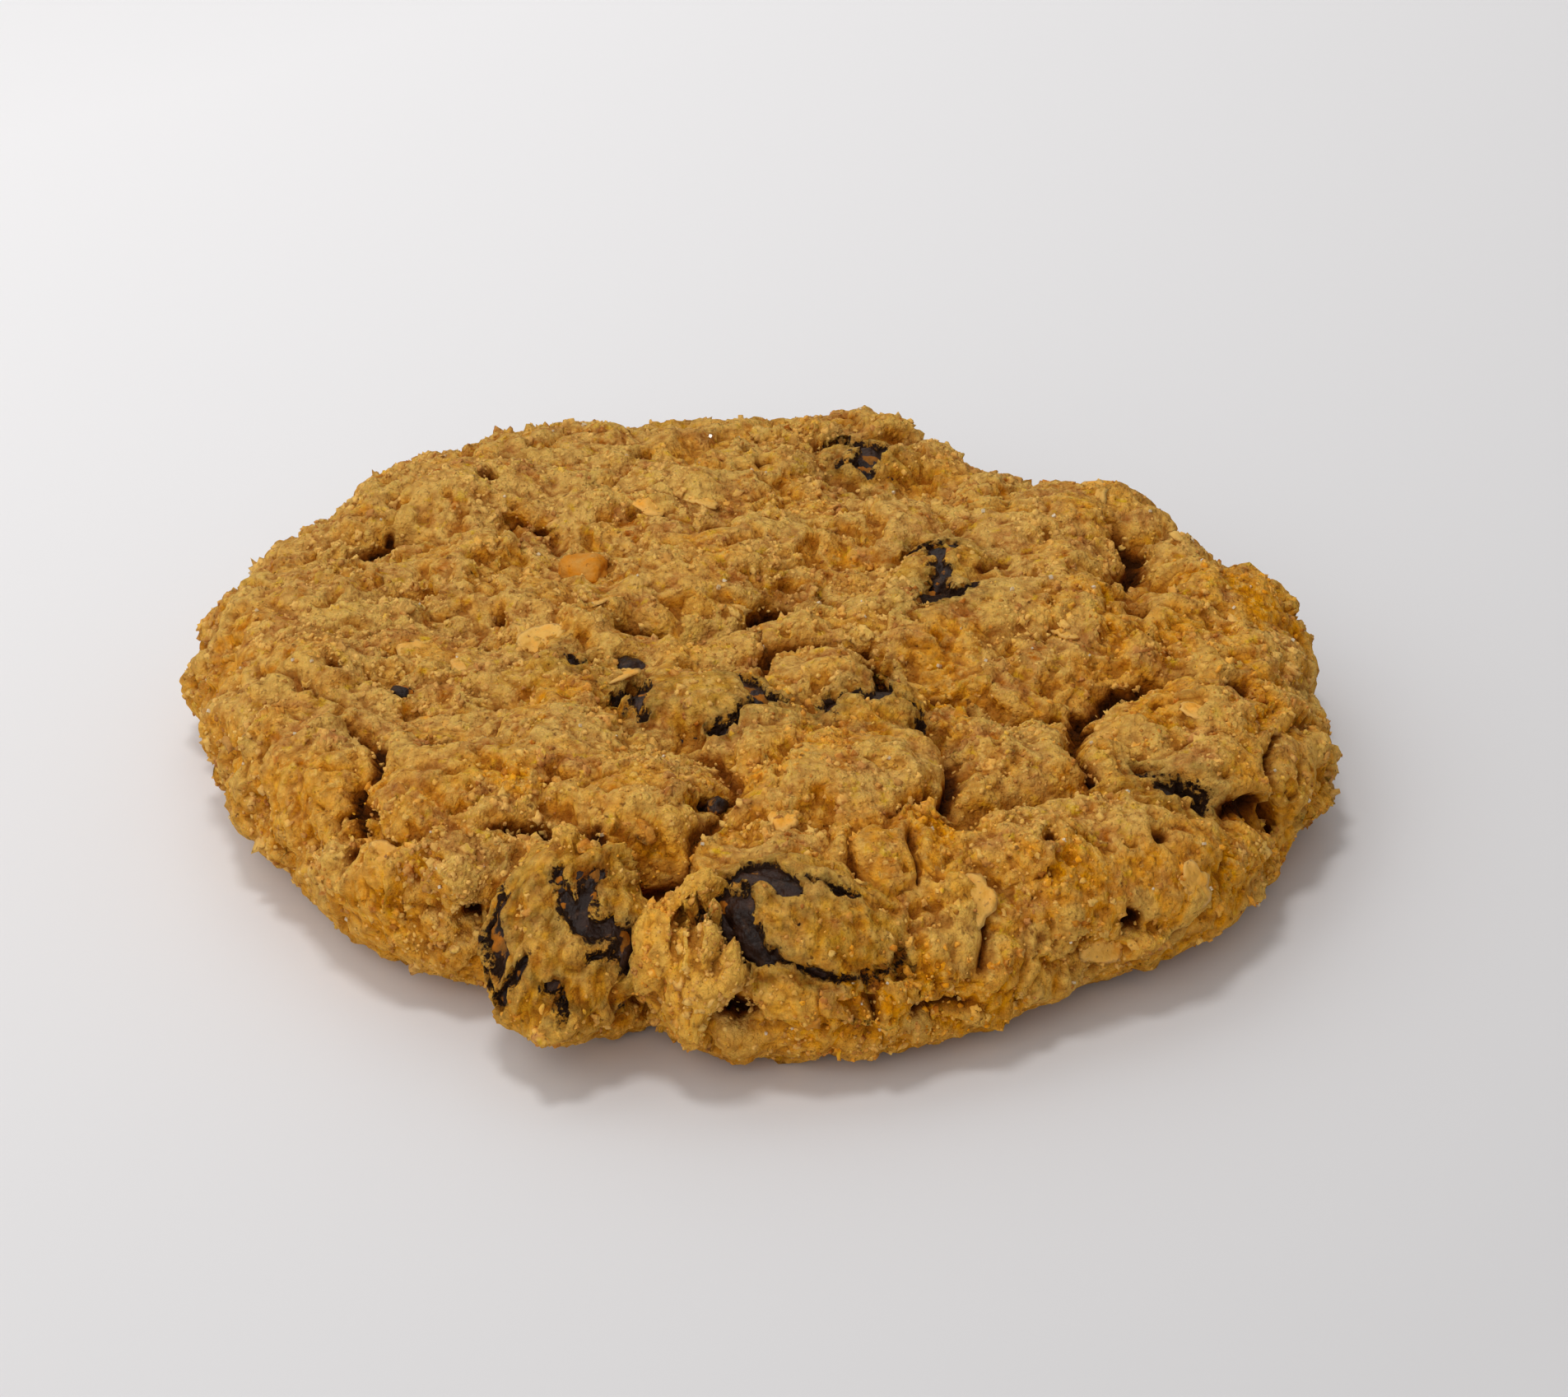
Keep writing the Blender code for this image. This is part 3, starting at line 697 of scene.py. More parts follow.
raisinLook = {
    "rows": 64, "columns": 96,
    "furrowCell": 2.0, "furrowDepth": 0.55, "fineCell": 0.8, "fineDepth": 0.22,
    "filmShare": 0.2, "filmHeight": 0.1, "filmShareOf": {"raisin_front_left": 0.42, "raisin_middle": 0.0},
}


def closedGrid(rows, columns):
    # latitude and longitude grid with one point at each pole
    lat = (np.arange(1, rows) / rows - 0.5) * math.pi
    lon = np.arange(columns) / columns * 2 * math.pi
    across, around = np.meshgrid(lat, lon, indexing="ij")
    unit = np.stack([np.sin(across), np.cos(across) * np.cos(around), np.cos(across) * np.sin(around)], -1)
    unit = np.concatenate([unit.reshape(-1, 3), [[-1, 0, 0], [1, 0, 0]]])
    index = np.arange((rows - 1) * columns).reshape(rows - 1, columns)
    a, b = index[:-1], np.roll(index, -1, 1)[:-1]
    c, d = np.roll(index, -1, 1)[1:], index[1:]
    faces = [np.stack([a, b, c], -1).reshape(-1, 3), np.stack([a, c, d], -1).reshape(-1, 3)]
    low, high = len(unit) - 2, len(unit) - 1
    ring, nextRing = index[0], np.roll(index[0], -1)
    faces.append(np.stack([np.full(columns, low), nextRing, ring], 1))
    ring, nextRing = index[-1], np.roll(index[-1], -1)
    faces.append(np.stack([np.full(columns, high), ring, nextRing], 1))
    return unit, np.concatenate(faces)


def makeRaisin(name, seed):
    middle, axes, half = raisinFrames[name]
    unit, triangles = closedGrid(raisinLook["rows"], raisinLook["columns"])
    if np.linalg.det(axes) < 0:
        triangles = triangles[:, ::-1]
    local = unit * half
    own = stirred(local * [0.55, 1, 1] + seed * 13.0, 0.9, 2.6, seed)
    furrow = np.sqrt(np.abs(ripple(own, raisinLook["furrowCell"], seed + 3)) + 0.004)
    fine = np.sqrt(np.abs(ripple(local * [0.8, 1, 1], raisinLook["fineCell"], seed + 4)) + 0.004)
    inset = raisinLook["furrowDepth"] * (furrow - 1.0) + raisinLook["fineDepth"] * (fine - 0.9)
    patches = ripple(own, 1.6, seed + 5) + 0.6 * ripple(local, 0.7, seed + 6)
    share = raisinLook["filmShareOf"].get(name, raisinLook["filmShare"])
    film = rise(0.0, 0.2, patches + share - 0.5)
    inset = np.minimum(inset, 0.0) + film * raisinLook["filmHeight"]
    points = middle + (local + unit * inset[:, None]) @ axes
    piece = meshPiece(name + "_skin", points, triangles, {"film": film})
    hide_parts(name)
    return piece


raisins = [makeRaisin(name, 10 + 3 * number) for number, name in enumerate(raisinNodes)]
print("raisins made:", len(raisins))


# Loose things on the dough, each kind one joined mesh

doughNormals = skinNormals(doughPoints, doughTriangles)
highestCrumb = 14.1
# where loose things may lie: away from the tears, the base and the hollows, and fewer on the films
openDough = (1 - rise(0.55, 0.9, doughValues["nearTear"])) * (1 - 0.5 * doughValues["film"])
openDough = openDough * (1 - doughValues["isBase"])
openDough = openDough * (doughPoints[:, 2] < highestCrumb) * (1 - 0.8 * rise(0.2, 0.8, doughValues["hollow"]))


def strewnSpots(count, seed, keep):
    # seeded spots on the dough's triangles, in proportion to area, where keep (a share per point) allows
    draw = np.random.default_rng(seed)
    corners = doughPoints[doughTriangles]
    area = np.linalg.norm(np.cross(corners[:, 1] - corners[:, 0], corners[:, 2] - corners[:, 0]), axis=1)
    chance = area * keep[doughTriangles].mean(1)
    face = draw.choice(len(area), count, p=chance / chance.sum())
    mix = draw.dirichlet([1, 1, 1], count)
    spot = (corners[face] * mix[..., None]).sum(1)
    normal = (doughNormals[doughTriangles[face]] * mix[..., None]).sum(1)
    return spot, normal / np.linalg.norm(normal, axis=1)[:, None], draw


def turned(normal, spin):
    # for each normal, three axes: two across it, turned by spin, and the normal itself
    side = np.cross(normal, np.where(np.abs(normal[:, 2:]) < 0.9, [[0, 0, 1]], [[1, 0, 0]]))
    side /= np.linalg.norm(side, axis=1)[:, None]
    other = np.cross(normal, side)
    first = side * np.cos(spin)[:, None] + other * np.sin(spin)[:, None]
    return np.stack([first, np.cross(normal, first), normal], 1)


def joined(shape, triangles, axes, size, spot):
    # one copy of the shape for each spot, stretched by size, laid on its axes; shape may differ for each
    points = np.einsum("nvk,nkj->nvj", shape * size[:, None, :], axes) + spot[:, None, :]
    count = points.shape[1]
    faces = triangles[None] + np.arange(len(spot))[:, None, None] * count
    return points.reshape(-1, 3), faces.reshape(-1, 3)


crumbs = {
    # count, seed, size, rows and columns of the grid, dents, how far out of the skin
    "grainCrumbs": (6500, 4, (0.24, 0.46), 3, 5, 0.8, -0.03),
    "fineCrumbs": (4200, 5, (0.35, 0.8), 4, 6, 1.1, -0.1),
    "coarseCrumbs": (600, 6, (0.6, 1.4), 7, 10, 1.3, -0.2),
}
lowestCrumb = 1.2


def makeCrumbs(name, count, seed, sizeRange, rows, columns, dent, out):
    # little balls on a pole-to-pole grid, dented by noise and flattened, half sunk in the dough
    keep = openDough * (doughPoints[:, 2] > lowestCrumb) * (1.15 - doughValues["calm"])
    spot, normal, draw = strewnSpots(count, seed, keep)
    unit, triangles = closedGrid(rows, columns)
    own = (unit[None] * 1.3 + draw.random((count, 1, 3)) * 90).reshape(-1, 3)
    dents = ripple(own, 1.0, seed) + 0.5 * ripple(own, 0.5, seed + 1)
    shape = unit[None] * (1 + dent * 0.8 * dents.reshape(count, -1, 1))
    low, high = sizeRange
    size = (low + (high - low) * draw.random(count) ** 2)[:, None] * draw.uniform(0.6, 1.0, (count, 3))
    tilted = normal + 0.5 * draw.normal(size=(count, 3))
    tilted /= np.linalg.norm(tilted, axis=1)[:, None]
    axes = turned(tilted, draw.random(count) * 6.28)
    points, faces = joined(shape, triangles, axes, size / 2, spot + normal * (size[:, :1] * out))
    tone = np.repeat(draw.random(count), unit.shape[0])
    piece = meshPiece(name, points, faces, {"tone": tone})
    return piece


crumbPieces = [makeCrumbs(name, *row) for name, row in crumbs.items()]
print("crumbs made")


oats = {
    "count": 12, "seed": 21, "length": (2.4, 4.0), "widthShare": (0.66, 0.86), "thick": 0.34,
    "rings": 6, "spokes": 24, "tilt": 0.16, "sink": 0.3, "namedSink": 0.22,
    # x, y laid flat, length, spin in degrees, how far the side facing spin + 90 is tipped up, how far out
    "named": [
        (-7.9, 15.4, 3.3, 10, 0.1, 0.05), (-4.3, 15.4, 2.4, 70, 0.2, 0.1), (23.9, -34.6, 3.2, 30, 0.3, 0.1),
        (27.5, -28.6, 3.0, 100, 0.25, 0.1), (13.6, -33.2, 3.4, 80, 0.25, 0.12),
        (-23.9, -27.5, 3.0, 15, 0.25, 0.0), (29.1, -13.4, 2.6, 40, 0.1, 0.05),
        (20.9, -3.6, 2.0, 60, 0.4, 0.1),
    ],
}


def makeOats():
    # flat ovals, curled like a saddle and ragged at the edge: an upper and a lower sheet that meet at the rim
    rings, spokes = oats["rings"], oats["spokes"]
    keep = openDough * (doughNormals[:, 2] > 0.75) * (np.abs(doughValues["hollow"]) < 0.2)
    spot, normal, draw = strewnSpots(oats["count"], oats["seed"], keep)
    named = np.array(oats["named"])
    count = oats["count"] + len(named)
    turn, reach = np.arctan2(named[:, 1], named[:, 0]), np.hypot(named[:, 0], named[:, 1])
    nearest = np.array([np.argmin(((doughFlat - one[:2]) ** 2).sum(1)) for one in named])
    plain = roundSkin(turn, np.minimum(reach, waistReach(turn)))[1]
    namedSpot = doughPoints[nearest] + plain * (named[:, 5:] - oats["namedSink"])
    spot = np.concatenate([spot - normal * oats["sink"], namedSpot])
    spin = np.concatenate([draw.random(oats["count"]) * 6.28, np.radians(named[:, 3])])
    tip = np.concatenate([oats["tilt"] * draw.normal(size=oats["count"]), named[:, 4]])
    length = np.concatenate([draw.uniform(*oats["length"], oats["count"]), named[:, 2]])[:, None] / 2
    axes = turned(np.concatenate([normal, plain]), spin)
    tipped = axes[:, 2] - axes[:, 1] * tip[:, None]
    axes[:, 1] = axes[:, 1] + axes[:, 2] * tip[:, None]
    axes[:, 2] = tipped
    across, around = np.meshgrid(
        np.arange(1, rings + 1) / rings, np.arange(spokes) / spokes * 2 * math.pi, indexing="ij"
    )
    x, y = (across * np.cos(around)).ravel(), (across * np.sin(around)).ravel()
    x, y = np.append(x, 0), np.append(y, 0)
    away = np.hypot(x, y)
    own = np.stack(np.broadcast_arrays(x * 1.6, y * 1.6, draw.random((count, 1)) * 70), -1).reshape(-1, 3)
    ragged = 1 + 0.4 * away * ripple(own, 1.0, 9).reshape(count, -1)
    curl = draw.normal(0, 0.09, (count, 1)) * x**2 + draw.normal(0, 0.07, (count, 1)) * x * y
    curl = curl * length + 0.22 * ripple(own * 1.7, 1.0, 10).reshape(count, -1)
    half = 0.5 * np.sqrt(np.clip(1 - away**4, 0, 1)) * oats["thick"]
    width = length * draw.uniform(*oats["widthShare"], (count, 1))
    upper = np.stack([x * ragged * length, y * ragged * width, curl + half], -1)
    lower = np.stack([x * ragged * length, y * ragged * width, curl - half], -1)
    outer = np.arange((rings - 1) * spokes, rings * spokes)
    total = len(x)
    lowerIndex = np.arange(total) + total
    lowerIndex[outer] = outer  # both sheets share the rim
    index = np.arange(rings * spokes).reshape(rings, spokes)
    a, b, c, d = index[:-1], index[1:], np.roll(index, -1, 1)[1:], np.roll(index, -1, 1)[:-1]
    sheet = [np.stack([a, b, c], -1).reshape(-1, 3), np.stack([a, c, d], -1).reshape(-1, 3)]
    sheet.append(np.stack([index[0], np.roll(index[0], -1), np.full(spokes, total - 1)], 1))
    sheet = np.concatenate(sheet)
    triangles = np.concatenate([sheet, lowerIndex[sheet][:, ::-1]])
    used, compact = np.unique(triangles, return_inverse=True)
    triangles = compact.reshape(-1, 3)
    shape = np.concatenate([upper, lower], 1)[:, used]
    points, faces = joined(shape, triangles, axes, np.ones((count, 3)), spot)
    tone = np.repeat(draw.random(count), shape.shape[1])
    edge = np.tile(np.concatenate([away, away])[used], count)
    piece = meshPiece("oatFlakes", points, faces, {"tone": tone, "edge": edge})
    return piece


oatFlakes = makeOats()
print("oat flakes made")


sugar = {"count": 110, "seed": 33, "size": (0.12, 0.26)}


def makeSugar():
    # small cubes set at all angles
    keep = openDough * (doughPoints[:, 2] > 2.0) * (doughValues["hollow"] < 0.1)
    count = sugar["count"]
    spot, normal, draw = strewnSpots(count, sugar["seed"], keep)
    corner = np.array(list(np.ndindex(2, 2, 2)), float) * 2 - 1
    triangles = np.array(
        [
            (0, 1, 3), (0, 3, 2), (4, 6, 7), (4, 7, 5), (0, 4, 5), (0, 5, 1),
            (2, 3, 7), (2, 7, 6), (0, 2, 6), (0, 6, 4), (1, 5, 7), (1, 7, 3),
        ]
    )
    tilted = normal + draw.normal(size=(count, 3))
    tilted /= np.linalg.norm(tilted, axis=1)[:, None]
    axes = turned(tilted, draw.random(count) * 6.28)
    size = draw.uniform(*sugar["size"], (count, 1)) * draw.uniform(0.7, 1.2, (count, 3)) / 2
    points, faces = joined(np.tile(corner, (count, 1, 1)), triangles, axes, size, spot + normal * 0.06)
    piece = meshPiece("sugarGrains", points, faces, {}, smooth=False)
    return piece


sugarGrains = makeSugar()


bits = {
    # x, y laid flat, length, width, depth, how far out of the skin
    "raisinBits": [
        (-9.0, -5.5, 2.6, 2.2, 1.6, -0.9), (-2.8, -24.3, 1.8, 1.5, 1.3, -0.9),
        (-24.3, -9.0, 1.8, 1.5, 1.2, -0.7),
    ],
    "driedFruitBit": [(-12.4, 8.1, 4.1, 3.4, 2.6, -0.35)],
}


def makeBits(name, seed):
    # small dented balls set into the skin at named places
    unit, triangles = closedGrid(18, 26)
    allPoints, allFaces = [], []
    for number, (x, y, length, width, depth, out) in enumerate(bits[name]):
        turn, reach = np.array([math.atan2(y, x)]), np.array([math.hypot(x, y)])
        place, normal = roundSkin(turn, reach)
        place = place + normal * formHeight(laidFlat(turn, reach), place)[:, None]
        axes = turned(normal, np.array([0.6 + 2.0 * number]))[0]
        own = unit * 1.1 + 17.0 * number
        dents = ripple(own, 1.0, seed) + 0.5 * ripple(own, 0.45, seed + 1)
        shape = unit * (1 + 0.26 * dents)[:, None]
        points = (shape * np.array([length, width, depth]) / 2) @ axes + place + normal * out
        allFaces.append(triangles + len(unit) * number)
        allPoints.append(points)
    points, faces = np.concatenate(allPoints), np.concatenate(allFaces)
    film = rise(0.1, 0.3, ripple(points, 1.0, seed + 1)) * 0.6
    return meshPiece(name, points, faces, {"film": film})


raisinBits = makeBits("raisinBits", 3)
fruitBit = makeBits("driedFruitBit", 4)
print("sugar and bits made")


# Finishes


def paint(red, green, blue):
    # a colour as the screen shows it, 0 to 255, turned into light
    screen = np.array([red, green, blue]) / 255
    light = np.where(screen < 0.04045, screen / 12.92, ((screen + 0.055) / 1.055) ** 2.4)
    return (*light.tolist(), 1.0)


def startMaterial(name):
    material = bpy.data.materials.new(name)
    material.use_nodes = True
    return material, material.node_tree, material.node_tree.nodes["Principled BSDF"]


def put(tree, kind, settings=None, **inputs):
    # adds a node; an input is named with _ for a space, or i and its number
    node = tree.nodes.new("ShaderNode" + kind)
    for key, value in (settings or {}).items():
        setattr(node, key, value)
    for key, value in inputs.items():
        socket = node.inputs[int(key[1:])] if key[1:].isdigit() else node.inputs[key.replace("_", " ")]
        if isinstance(value, bpy.types.NodeSocket):
            tree.links.new(value, socket)
        else:
            socket.default_value = value
    return node


def ramp(tree, value, low, high):
    # 0 at low, 1 at high, straight between
    return put(tree, "MapRange", Value=value, From_Min=low, From_Max=high).outputs["Result"]


def mixed(tree, share, first, second, blend="MIX"):
    node = put(tree, "Mix", {"data_type": "RGBA", "blend_type": blend})
    for socket, value in zip((node.inputs[0], node.inputs[6], node.inputs[7]), (share, first, second)):
        if isinstance(value, bpy.types.NodeSocket):
            tree.links.new(value, socket)
        else:
            socket.default_value = value
    return node.outputs[2]


def tinted(tree, share, amount, first, second):
    # the first colour with the second over it, by a share times an amount
    return mixed(tree, arithmetic(tree, "MULTIPLY", share, amount), first, second)


def noise(tree, where, size, detail=2.0, roughness=0.5):
    # noise whose features are about the given size in millimetres
    node = put(tree, "TexNoise", Vector=where, Scale=1 / (size * mm), Detail=detail, Roughness=roughness)
    return node.outputs["Fac"]


def arithmetic(tree, operation, first, second, clamp=False):
    node = put(tree, "Math", {"operation": operation, "use_clamp": clamp}, i0=first, i1=second)
    return node.outputs[0]


def attribute(tree, name):
    return put(tree, "Attribute", {"attribute_name": name}).outputs["Fac"]


doughColours = {
    "tan": paint(231, 180, 93),
    "golden": paint(240, 157, 0),
    "brown": paint(144, 72, 0),
    "deep": paint(58, 26, 0),
    "oat": paint(232, 187, 96),
    "yellow": paint(228, 182, 30),
    "rosy": paint(198, 134, 66),
    "amber": paint(188, 106, 8),
    "umber": paint(160, 84, 8),
    "pale": paint(244, 196, 104),
    "speck": paint(92, 44, 10),
    "lobe": paint(255, 188, 70),
    "film": paint(212, 152, 30),
    "dusk": paint(96, 68, 30),
    "stain": paint(44, 26, 14),
}


def speckled(tree, where, colour):
    # cinnamon specks: sparse dark dots of two sizes
    fine = ramp(tree, noise(tree, where, 0.34, 1.0), 0.66, 0.72)
    coarse = ramp(tree, noise(tree, where, 0.8, 2.0), 0.70, 0.76)
    specks = arithmetic(tree, "MAXIMUM", arithmetic(tree, "MULTIPLY", fine, 0.6), coarse)
    return tinted(tree, specks, 0.75, colour, doughColours["speck"])


def mottled(tree, where):
    # tan to golden in broad patches, the dough's own browning; more golden and darker towards the right and
    # the front, which is painted shade for the light falling from the left and back
    # yellow, rosy and other small patches lie over them
    c = doughColours
    apart = put(tree, "SeparateXYZ", Vector=where)
    across = arithmetic(tree, "SUBTRACT", apart.outputs["X"], apart.outputs["Y"])
    browningAndShade = arithmetic(tree, "ADD", noise(tree, where, 7.0, 3.0), arithmetic(tree, "MULTIPLY", across, 2.2))
    colour = mixed(tree, ramp(tree, browningAndShade, 0.44, 0.72), c["tan"], c["golden"])
    colour = mixed(tree, ramp(tree, noise(tree, where, 2.6, 3.0), 0.5, 0.66), colour, c["rosy"])
    colour = mixed(tree, ramp(tree, noise(tree, where, 1.9, 3.0, 0.6), 0.56, 0.7), colour, c["amber"])
    yellow = ramp(tree, noise(tree, where, 1.1, 3.0, 0.65), 0.56, 0.7)
    colour = tinted(tree, yellow, 0.8, colour, c["yellow"])
    umber = ramp(tree, noise(tree, where, 0.9, 3.0, 0.65), 0.54, 0.68)
    colour = tinted(tree, umber, 0.6, colour, c["umber"])
    pale = ramp(tree, noise(tree, where, 0.62, 2.0, 0.6), 0.55, 0.68)
    return tinted(tree, pale, 0.65, colour, c["pale"])


def cells(tree, where, size):
    # distance to the nearest of points strewn about that far apart: low in a crumb, high between crumbs
    return put(tree, "TexVoronoi", Vector=where, Scale=1 / (size * mm)).outputs["Distance"]


def grainBump(tree, where, strength):
    # crumb in three sizes as bump, under what the mesh carries
    height = arithmetic(tree, "MULTIPLY", cells(tree, where, 0.7), -0.45)
    middle = arithmetic(tree, "MULTIPLY", noise(tree, where, 0.5, 4.0, 0.7), 0.8)
    height = arithmetic(tree, "ADD", height, middle)
    height = arithmetic(tree, "ADD", height, arithmetic(tree, "MULTIPLY", cells(tree, where, 0.3), -0.25))
    return put(tree, "Bump", Height=height, Strength=strength, Distance=0.75 * mm).outputs["Normal"]


def roughened(tree, value, where, size, amount):
    # the value with a noise of that size added, whose mean is nothing
    wobble = arithmetic(tree, "SUBTRACT", noise(tree, where, size, 4.0, 0.65), 0.5)
    return arithmetic(tree, "ADD", value, arithmetic(tree, "MULTIPLY", wobble, amount))


def doughMaterial():
    material, tree, shader = startMaterial("bakedDoughCrumb")
    c = doughColours
    where = put(tree, "TexCoord").outputs["Object"]
    colour = mottled(tree, where)
    # golden on the sides as painted light: the top is kept paler, as if it carried sheen from above; pale on
    # the flakes, brighter on the lobes and mounds
    upwards = put(tree, "SeparateXYZ", Vector=put(tree, "NewGeometry").outputs["Normal"]).outputs["Z"]
    colour = tinted(tree, ramp(tree, upwards, 0.85, 0.2), 0.6, colour, c["golden"])
    colour = tinted(tree, attribute(tree, "flake"), 0.55, colour, c["oat"])
    colour = tinted(tree, attribute(tree, "torn"), 0.35, colour, c["golden"])
    colour = tinted(tree, attribute(tree, "lobe"), 0.65, colour, c["lobe"])
    # duller over the raisins, and dark in patches near their tears
    onFilm = arithmetic(tree, "SUBTRACT", attribute(tree, "film"), attribute(tree, "lobe"), True)
    film = arithmetic(tree, "MULTIPLY", onFilm, ramp(tree, noise(tree, where, 1.5, 3.0, 0.6), 0.4, 0.56))
    colour = tinted(tree, film, 0.65, colour, c["film"])
    patches = ramp(tree, noise(tree, where, 1.1, 3.0, 0.6), 0.36, 0.62)
    dusk = arithmetic(tree, "MULTIPLY", attribute(tree, "nearTear"), patches)
    colour = tinted(tree, dusk, 0.85, colour, c["dusk"])
    # painted shade: browner in hollows, creases and the gaps between crumbs; painted highlight: paler on what
    # stands out
    hollow = ramp(tree, roughened(tree, attribute(tree, "hollow"), where, 1.2, 2.5), 0.3, 1.6)
    colour = tinted(tree, hollow, 0.5, colour, c["brown"])
    colour = mixed(tree, ramp(tree, attribute(tree, "crease"), 0.3, 1.5), colour, c["brown"])
    colour = tinted(tree, ramp(tree, attribute(tree, "crease"), -0.15, -1.0), 0.35, colour, c["oat"])
    colour = tinted(tree, ramp(tree, cells(tree, where, 0.7), 0.4, 0.85), 0.45, colour, c["brown"])
    colour = speckled(tree, where, colour)
    # painted shade: brown, then near black, in the creases, pits, holes and valleys, darker the deeper the
    # cut
    wobble = arithmetic(tree, "MULTIPLY", noise(tree, where, 0.9, 4.0, 0.65), 0.5)
    cutShade = arithmetic(tree, "ADD", attribute(tree, "cutShade"), wobble)
    colour = mixed(tree, ramp(tree, cutShade, 0.5, 1.05), colour, c["brown"])
    colour = mixed(tree, ramp(tree, cutShade, 0.8, 1.25), colour, c["deep"])
    torn = ramp(tree, roughened(tree, attribute(tree, "tear"), where, 0.45, 1.1), 0.48, 0.6)
    colour = mixed(tree, torn, colour, c["stain"])
    tree.links.new(colour, shader.inputs["Base Color"])
    tree.links.new(grainBump(tree, where, 1.0), shader.inputs["Normal"])
    rough = put(tree, "MapRange", Value=torn, To_Min=0.8, To_Max=0.45).outputs["Result"]
    tree.links.new(rough, shader.inputs["Roughness"])
    shader.inputs["Specular IOR Level"].default_value = 0.08
    shader.inputs["Subsurface Weight"].default_value = 0.15
    shader.inputs["Subsurface Radius"].default_value = (1.0, 0.5, 0.2)
    shader.inputs["Subsurface Scale"].default_value = 1.0 * mm
    return material


def crumbMaterial():
    material, tree, shader = startMaterial("bakedCrumbs")
    c = doughColours
    where = put(tree, "TexCoord").outputs["Object"]
    tone = attribute(tree, "tone")
    colour = mottled(tree, where)
    colour = tinted(tree, ramp(tree, tone, 0.35, 0.0), 0.6, colour, c["brown"])
    colour = tinted(tree, ramp(tree, tone, 0.6, 1.0), 0.7, colour, c["oat"])
    colour = speckled(tree, where, colour)
    tree.links.new(colour, shader.inputs["Base Color"])
    tree.links.new(grainBump(tree, where, 0.5), shader.inputs["Normal"])
    shader.inputs["Roughness"].default_value = 0.78
    shader.inputs["Specular IOR Level"].default_value = 0.25
    return material


oatColours = {"dark": paint(212, 152, 50), "light": paint(224, 170, 70), "edge": paint(236, 208, 142)}


def oatMaterial():
    material, tree, shader = startMaterial("toastedOat")
    c = oatColours
    where = put(tree, "TexCoord").outputs["Object"]
    colour = mixed(tree, attribute(tree, "tone"), c["dark"], c["light"])
    golden = ramp(tree, noise(tree, where, 1.6, 3.0), 0.5, 0.75)
    colour = mixed(tree, golden, colour, doughColours["golden"])
    colour = tinted(tree, ramp(tree, attribute(tree, "edge"), 0.7, 1.0), 0.2, colour, c["edge"])
    colour = speckled(tree, where, colour)
    tree.links.new(colour, shader.inputs["Base Color"])
    tree.links.new(grainBump(tree, where, 0.3), shader.inputs["Normal"])
    shader.inputs["Roughness"].default_value = 0.62
    shader.inputs["Subsurface Weight"].default_value = 0.1
    shader.inputs["Subsurface Radius"].default_value = (1.0, 0.6, 0.3)
    shader.inputs["Subsurface Scale"].default_value = 0.8 * mm
    return material


raisinColours = {
    "skin": paint(32, 17, 10), "light": paint(66, 40, 28),
    "coat": paint(120, 76, 22), "dust": paint(112, 76, 46),
}


def raisinMaterial():
    material, tree, shader = startMaterial("driedRaisinSkin")
    c = raisinColours
    where = put(tree, "TexCoord").outputs["Object"]
    film = ramp(tree, roughened(tree, attribute(tree, "film"), where, 0.6, 2.4), 0.45, 0.65)
    colour = mixed(tree, ramp(tree, noise(tree, where, 1.8, 3.0), 0.45, 0.8), c["skin"], c["light"])
    dusty = ramp(tree, noise(tree, where, 0.7, 3.0, 0.6), 0.55, 0.8)
    colour = tinted(tree, dusty, 0.4, colour, c["dust"])
    patches = ramp(tree, noise(tree, where, 1.2, 3.0), 0.4, 0.75)
    coat = mixed(tree, patches, c["coat"], doughColours["amber"])
    colour = mixed(tree, film, colour, speckled(tree, where, coat))
    tree.links.new(colour, shader.inputs["Base Color"])
    rough = put(tree, "MapRange", Value=film, To_Min=0.38, To_Max=0.8).outputs["Result"]
    tree.links.new(rough, shader.inputs["Roughness"])
    tree.links.new(grainBump(tree, where, 0.4), shader.inputs["Normal"])
    shader.inputs["Specular IOR Level"].default_value = 0.2
    return material


fruitColours = {"dark": paint(206, 126, 6), "light": paint(198, 140, 58)}


def fruitMaterial():
    material, tree, shader = startMaterial("driedFruit")
    where = put(tree, "TexCoord").outputs["Object"]
    patches = ramp(tree, noise(tree, where, 1.2, 3.0), 0.35, 0.7)
    colour = mixed(tree, patches, fruitColours["dark"], fruitColours["light"])
    tree.links.new(speckled(tree, where, colour), shader.inputs["Base Color"])
    tree.links.new(grainBump(tree, where, 0.4), shader.inputs["Normal"])
    shader.inputs["Roughness"].default_value = 0.65
    shader.inputs["Specular IOR Level"].default_value = 0.15
    return material


sugarColours = {"dark": paint(236, 206, 150), "light": paint(250, 240, 214)}


def sugarMaterial():
    material, tree, shader = startMaterial("sugarCrystal")
    where = put(tree, "TexCoord").outputs["Object"]
    patches = ramp(tree, noise(tree, where, 0.6, 1.0), 0.3, 0.7)
    colour = mixed(tree, patches, sugarColours["dark"], sugarColours["light"])
    tree.links.new(colour, shader.inputs["Base Color"])
    shader.inputs["Roughness"].default_value = 0.15
    shader.inputs["Transmission Weight"].default_value = 0.4
    return material


dough.data.materials.append(doughMaterial())
crumbFinish = crumbMaterial()
for piece in crumbPieces:
    piece.data.materials.append(crumbFinish)
oatFlakes.data.materials.append(oatMaterial())
sugarGrains.data.materials.append(sugarMaterial())
raisinFinish = raisinMaterial()
for piece in [*raisins, raisinBits]:
    piece.data.materials.append(raisinFinish)
fruitBit.data.materials.append(fruitMaterial())
print("finishes made")


# Floor, light and camera

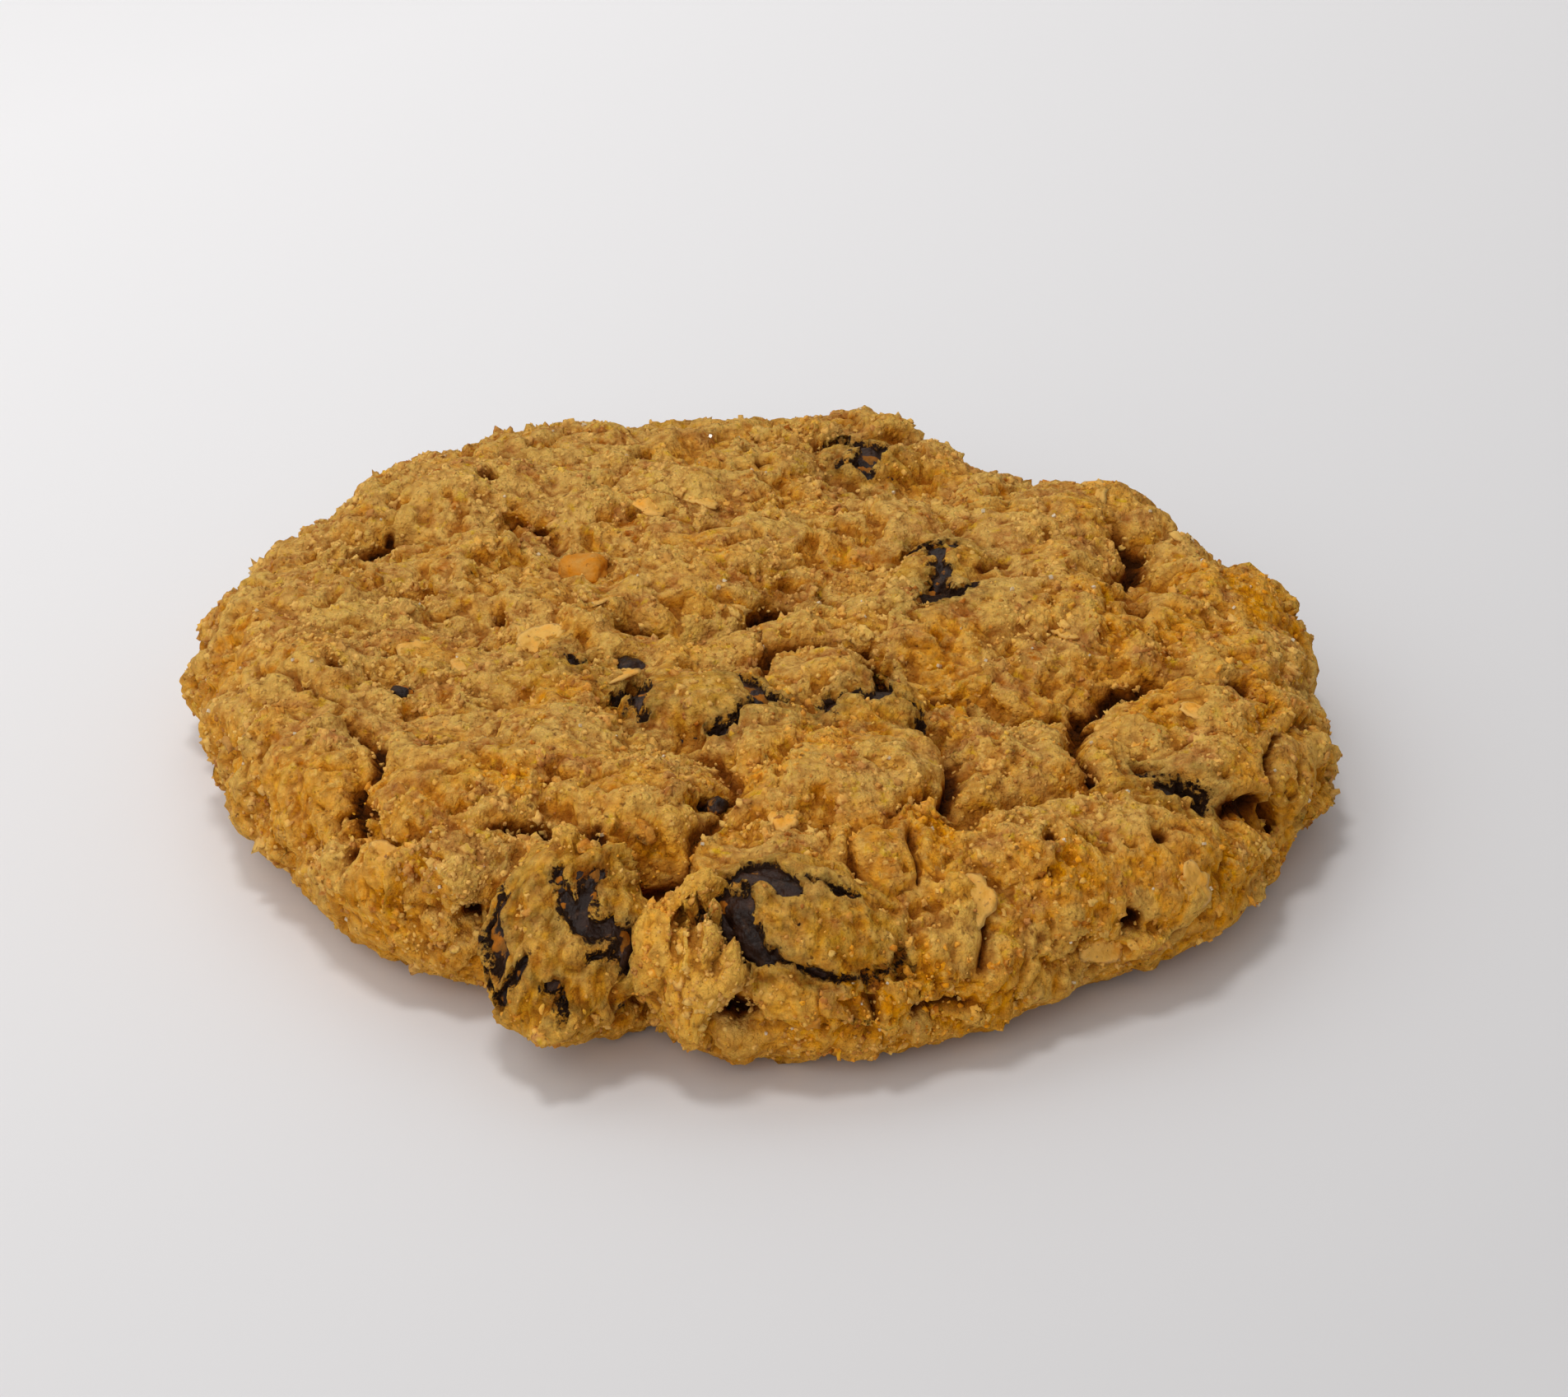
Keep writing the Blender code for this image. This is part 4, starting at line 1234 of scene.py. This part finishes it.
stage = {
    "floorNear": paint(211, 210, 212), "floorFar": paint(246, 245, 247),
    "world": 0.36, "worldColour": (0.99, 0.985, 0.975, 1.0),
    # lens in millimetres, distance and target in metres, elevation in degrees
    "lens": 105.0, "distance": 0.32, "elevation": 29.5, "target": (0.0016, 0.001, 0.005),
    # place in metres, width, watts, colour
    "overhead": ((-0.06, -0.03, 0.5), 0.1, 0.62, (1.0, 0.99, 0.975)),
    "left": ((-0.43, 0.05, 0.43), 0.6, 0.8, (1.0, 0.99, 0.98)),
    "back": ((-0.14, 0.4, 0.48), 0.6, 0.8, (1.0, 0.995, 0.99)),
    "front": ((-0.28, -0.55, 0.34), 0.7, 2.1, (1.0, 0.985, 0.955)),
}


def aim(thing, place, target):
    thing.location = place
    thing.rotation_euler = (Vector(target) - Vector(place)).to_track_quat("-Z", "Y").to_euler()


def makeStage():
    bpy.ops.mesh.primitive_plane_add(size=6)
    floor = bpy.context.active_object
    floor.name = "floor"
    material, tree, shader = startMaterial("paleTable")
    # painted light: a little lighter towards the far left, standing in for the lamps' light falling off
    # across the floor
    apart = put(tree, "SeparateXYZ", Vector=put(tree, "TexCoord").outputs["Object"])
    across = arithmetic(tree, "MULTIPLY", apart.outputs["X"], 0.8)
    far = arithmetic(tree, "SUBTRACT", apart.outputs["Y"], across)
    colour = mixed(tree, ramp(tree, far, -0.1, 0.17), stage["floorNear"], stage["floorFar"])
    tree.links.new(colour, shader.inputs["Base Color"])
    shader.inputs["Roughness"].default_value = 0.7
    floor.data.materials.append(material)
    world = bpy.data.worlds.new("softRoom")
    world.use_nodes = True
    background = world.node_tree.nodes["Background"]
    background.inputs["Color"].default_value = stage["worldColour"]
    background.inputs["Strength"].default_value = stage["world"]
    bpy.context.scene.world = world
    for name in ("overhead", "left", "back", "front"):
        place, width, watts, colour = stage[name]
        lamp = bpy.data.lights.new(name, "AREA")
        lamp.size, lamp.energy, lamp.color = width, watts, colour
        holder = bpy.data.objects.new(name, lamp)
        bpy.context.scene.collection.objects.link(holder)
        aim(holder, place, (0, 0, 0))
    bpy.context.scene.view_settings.view_transform = "Standard"


def makeCamera():
    camera = bpy.data.cameras.new("camera")
    camera.lens, camera.sensor_width = stage["lens"], 36.0
    camera.clip_start = 0.01
    holder = bpy.data.objects.new("camera", camera)
    bpy.context.scene.collection.objects.link(holder)
    tilt = math.radians(stage["elevation"])
    back = Vector((0, -math.cos(tilt), math.sin(tilt))) * stage["distance"]
    aim(holder, Vector(stage["target"]) + back, stage["target"])
    bpy.context.scene.camera = holder


makeStage()
makeCamera()
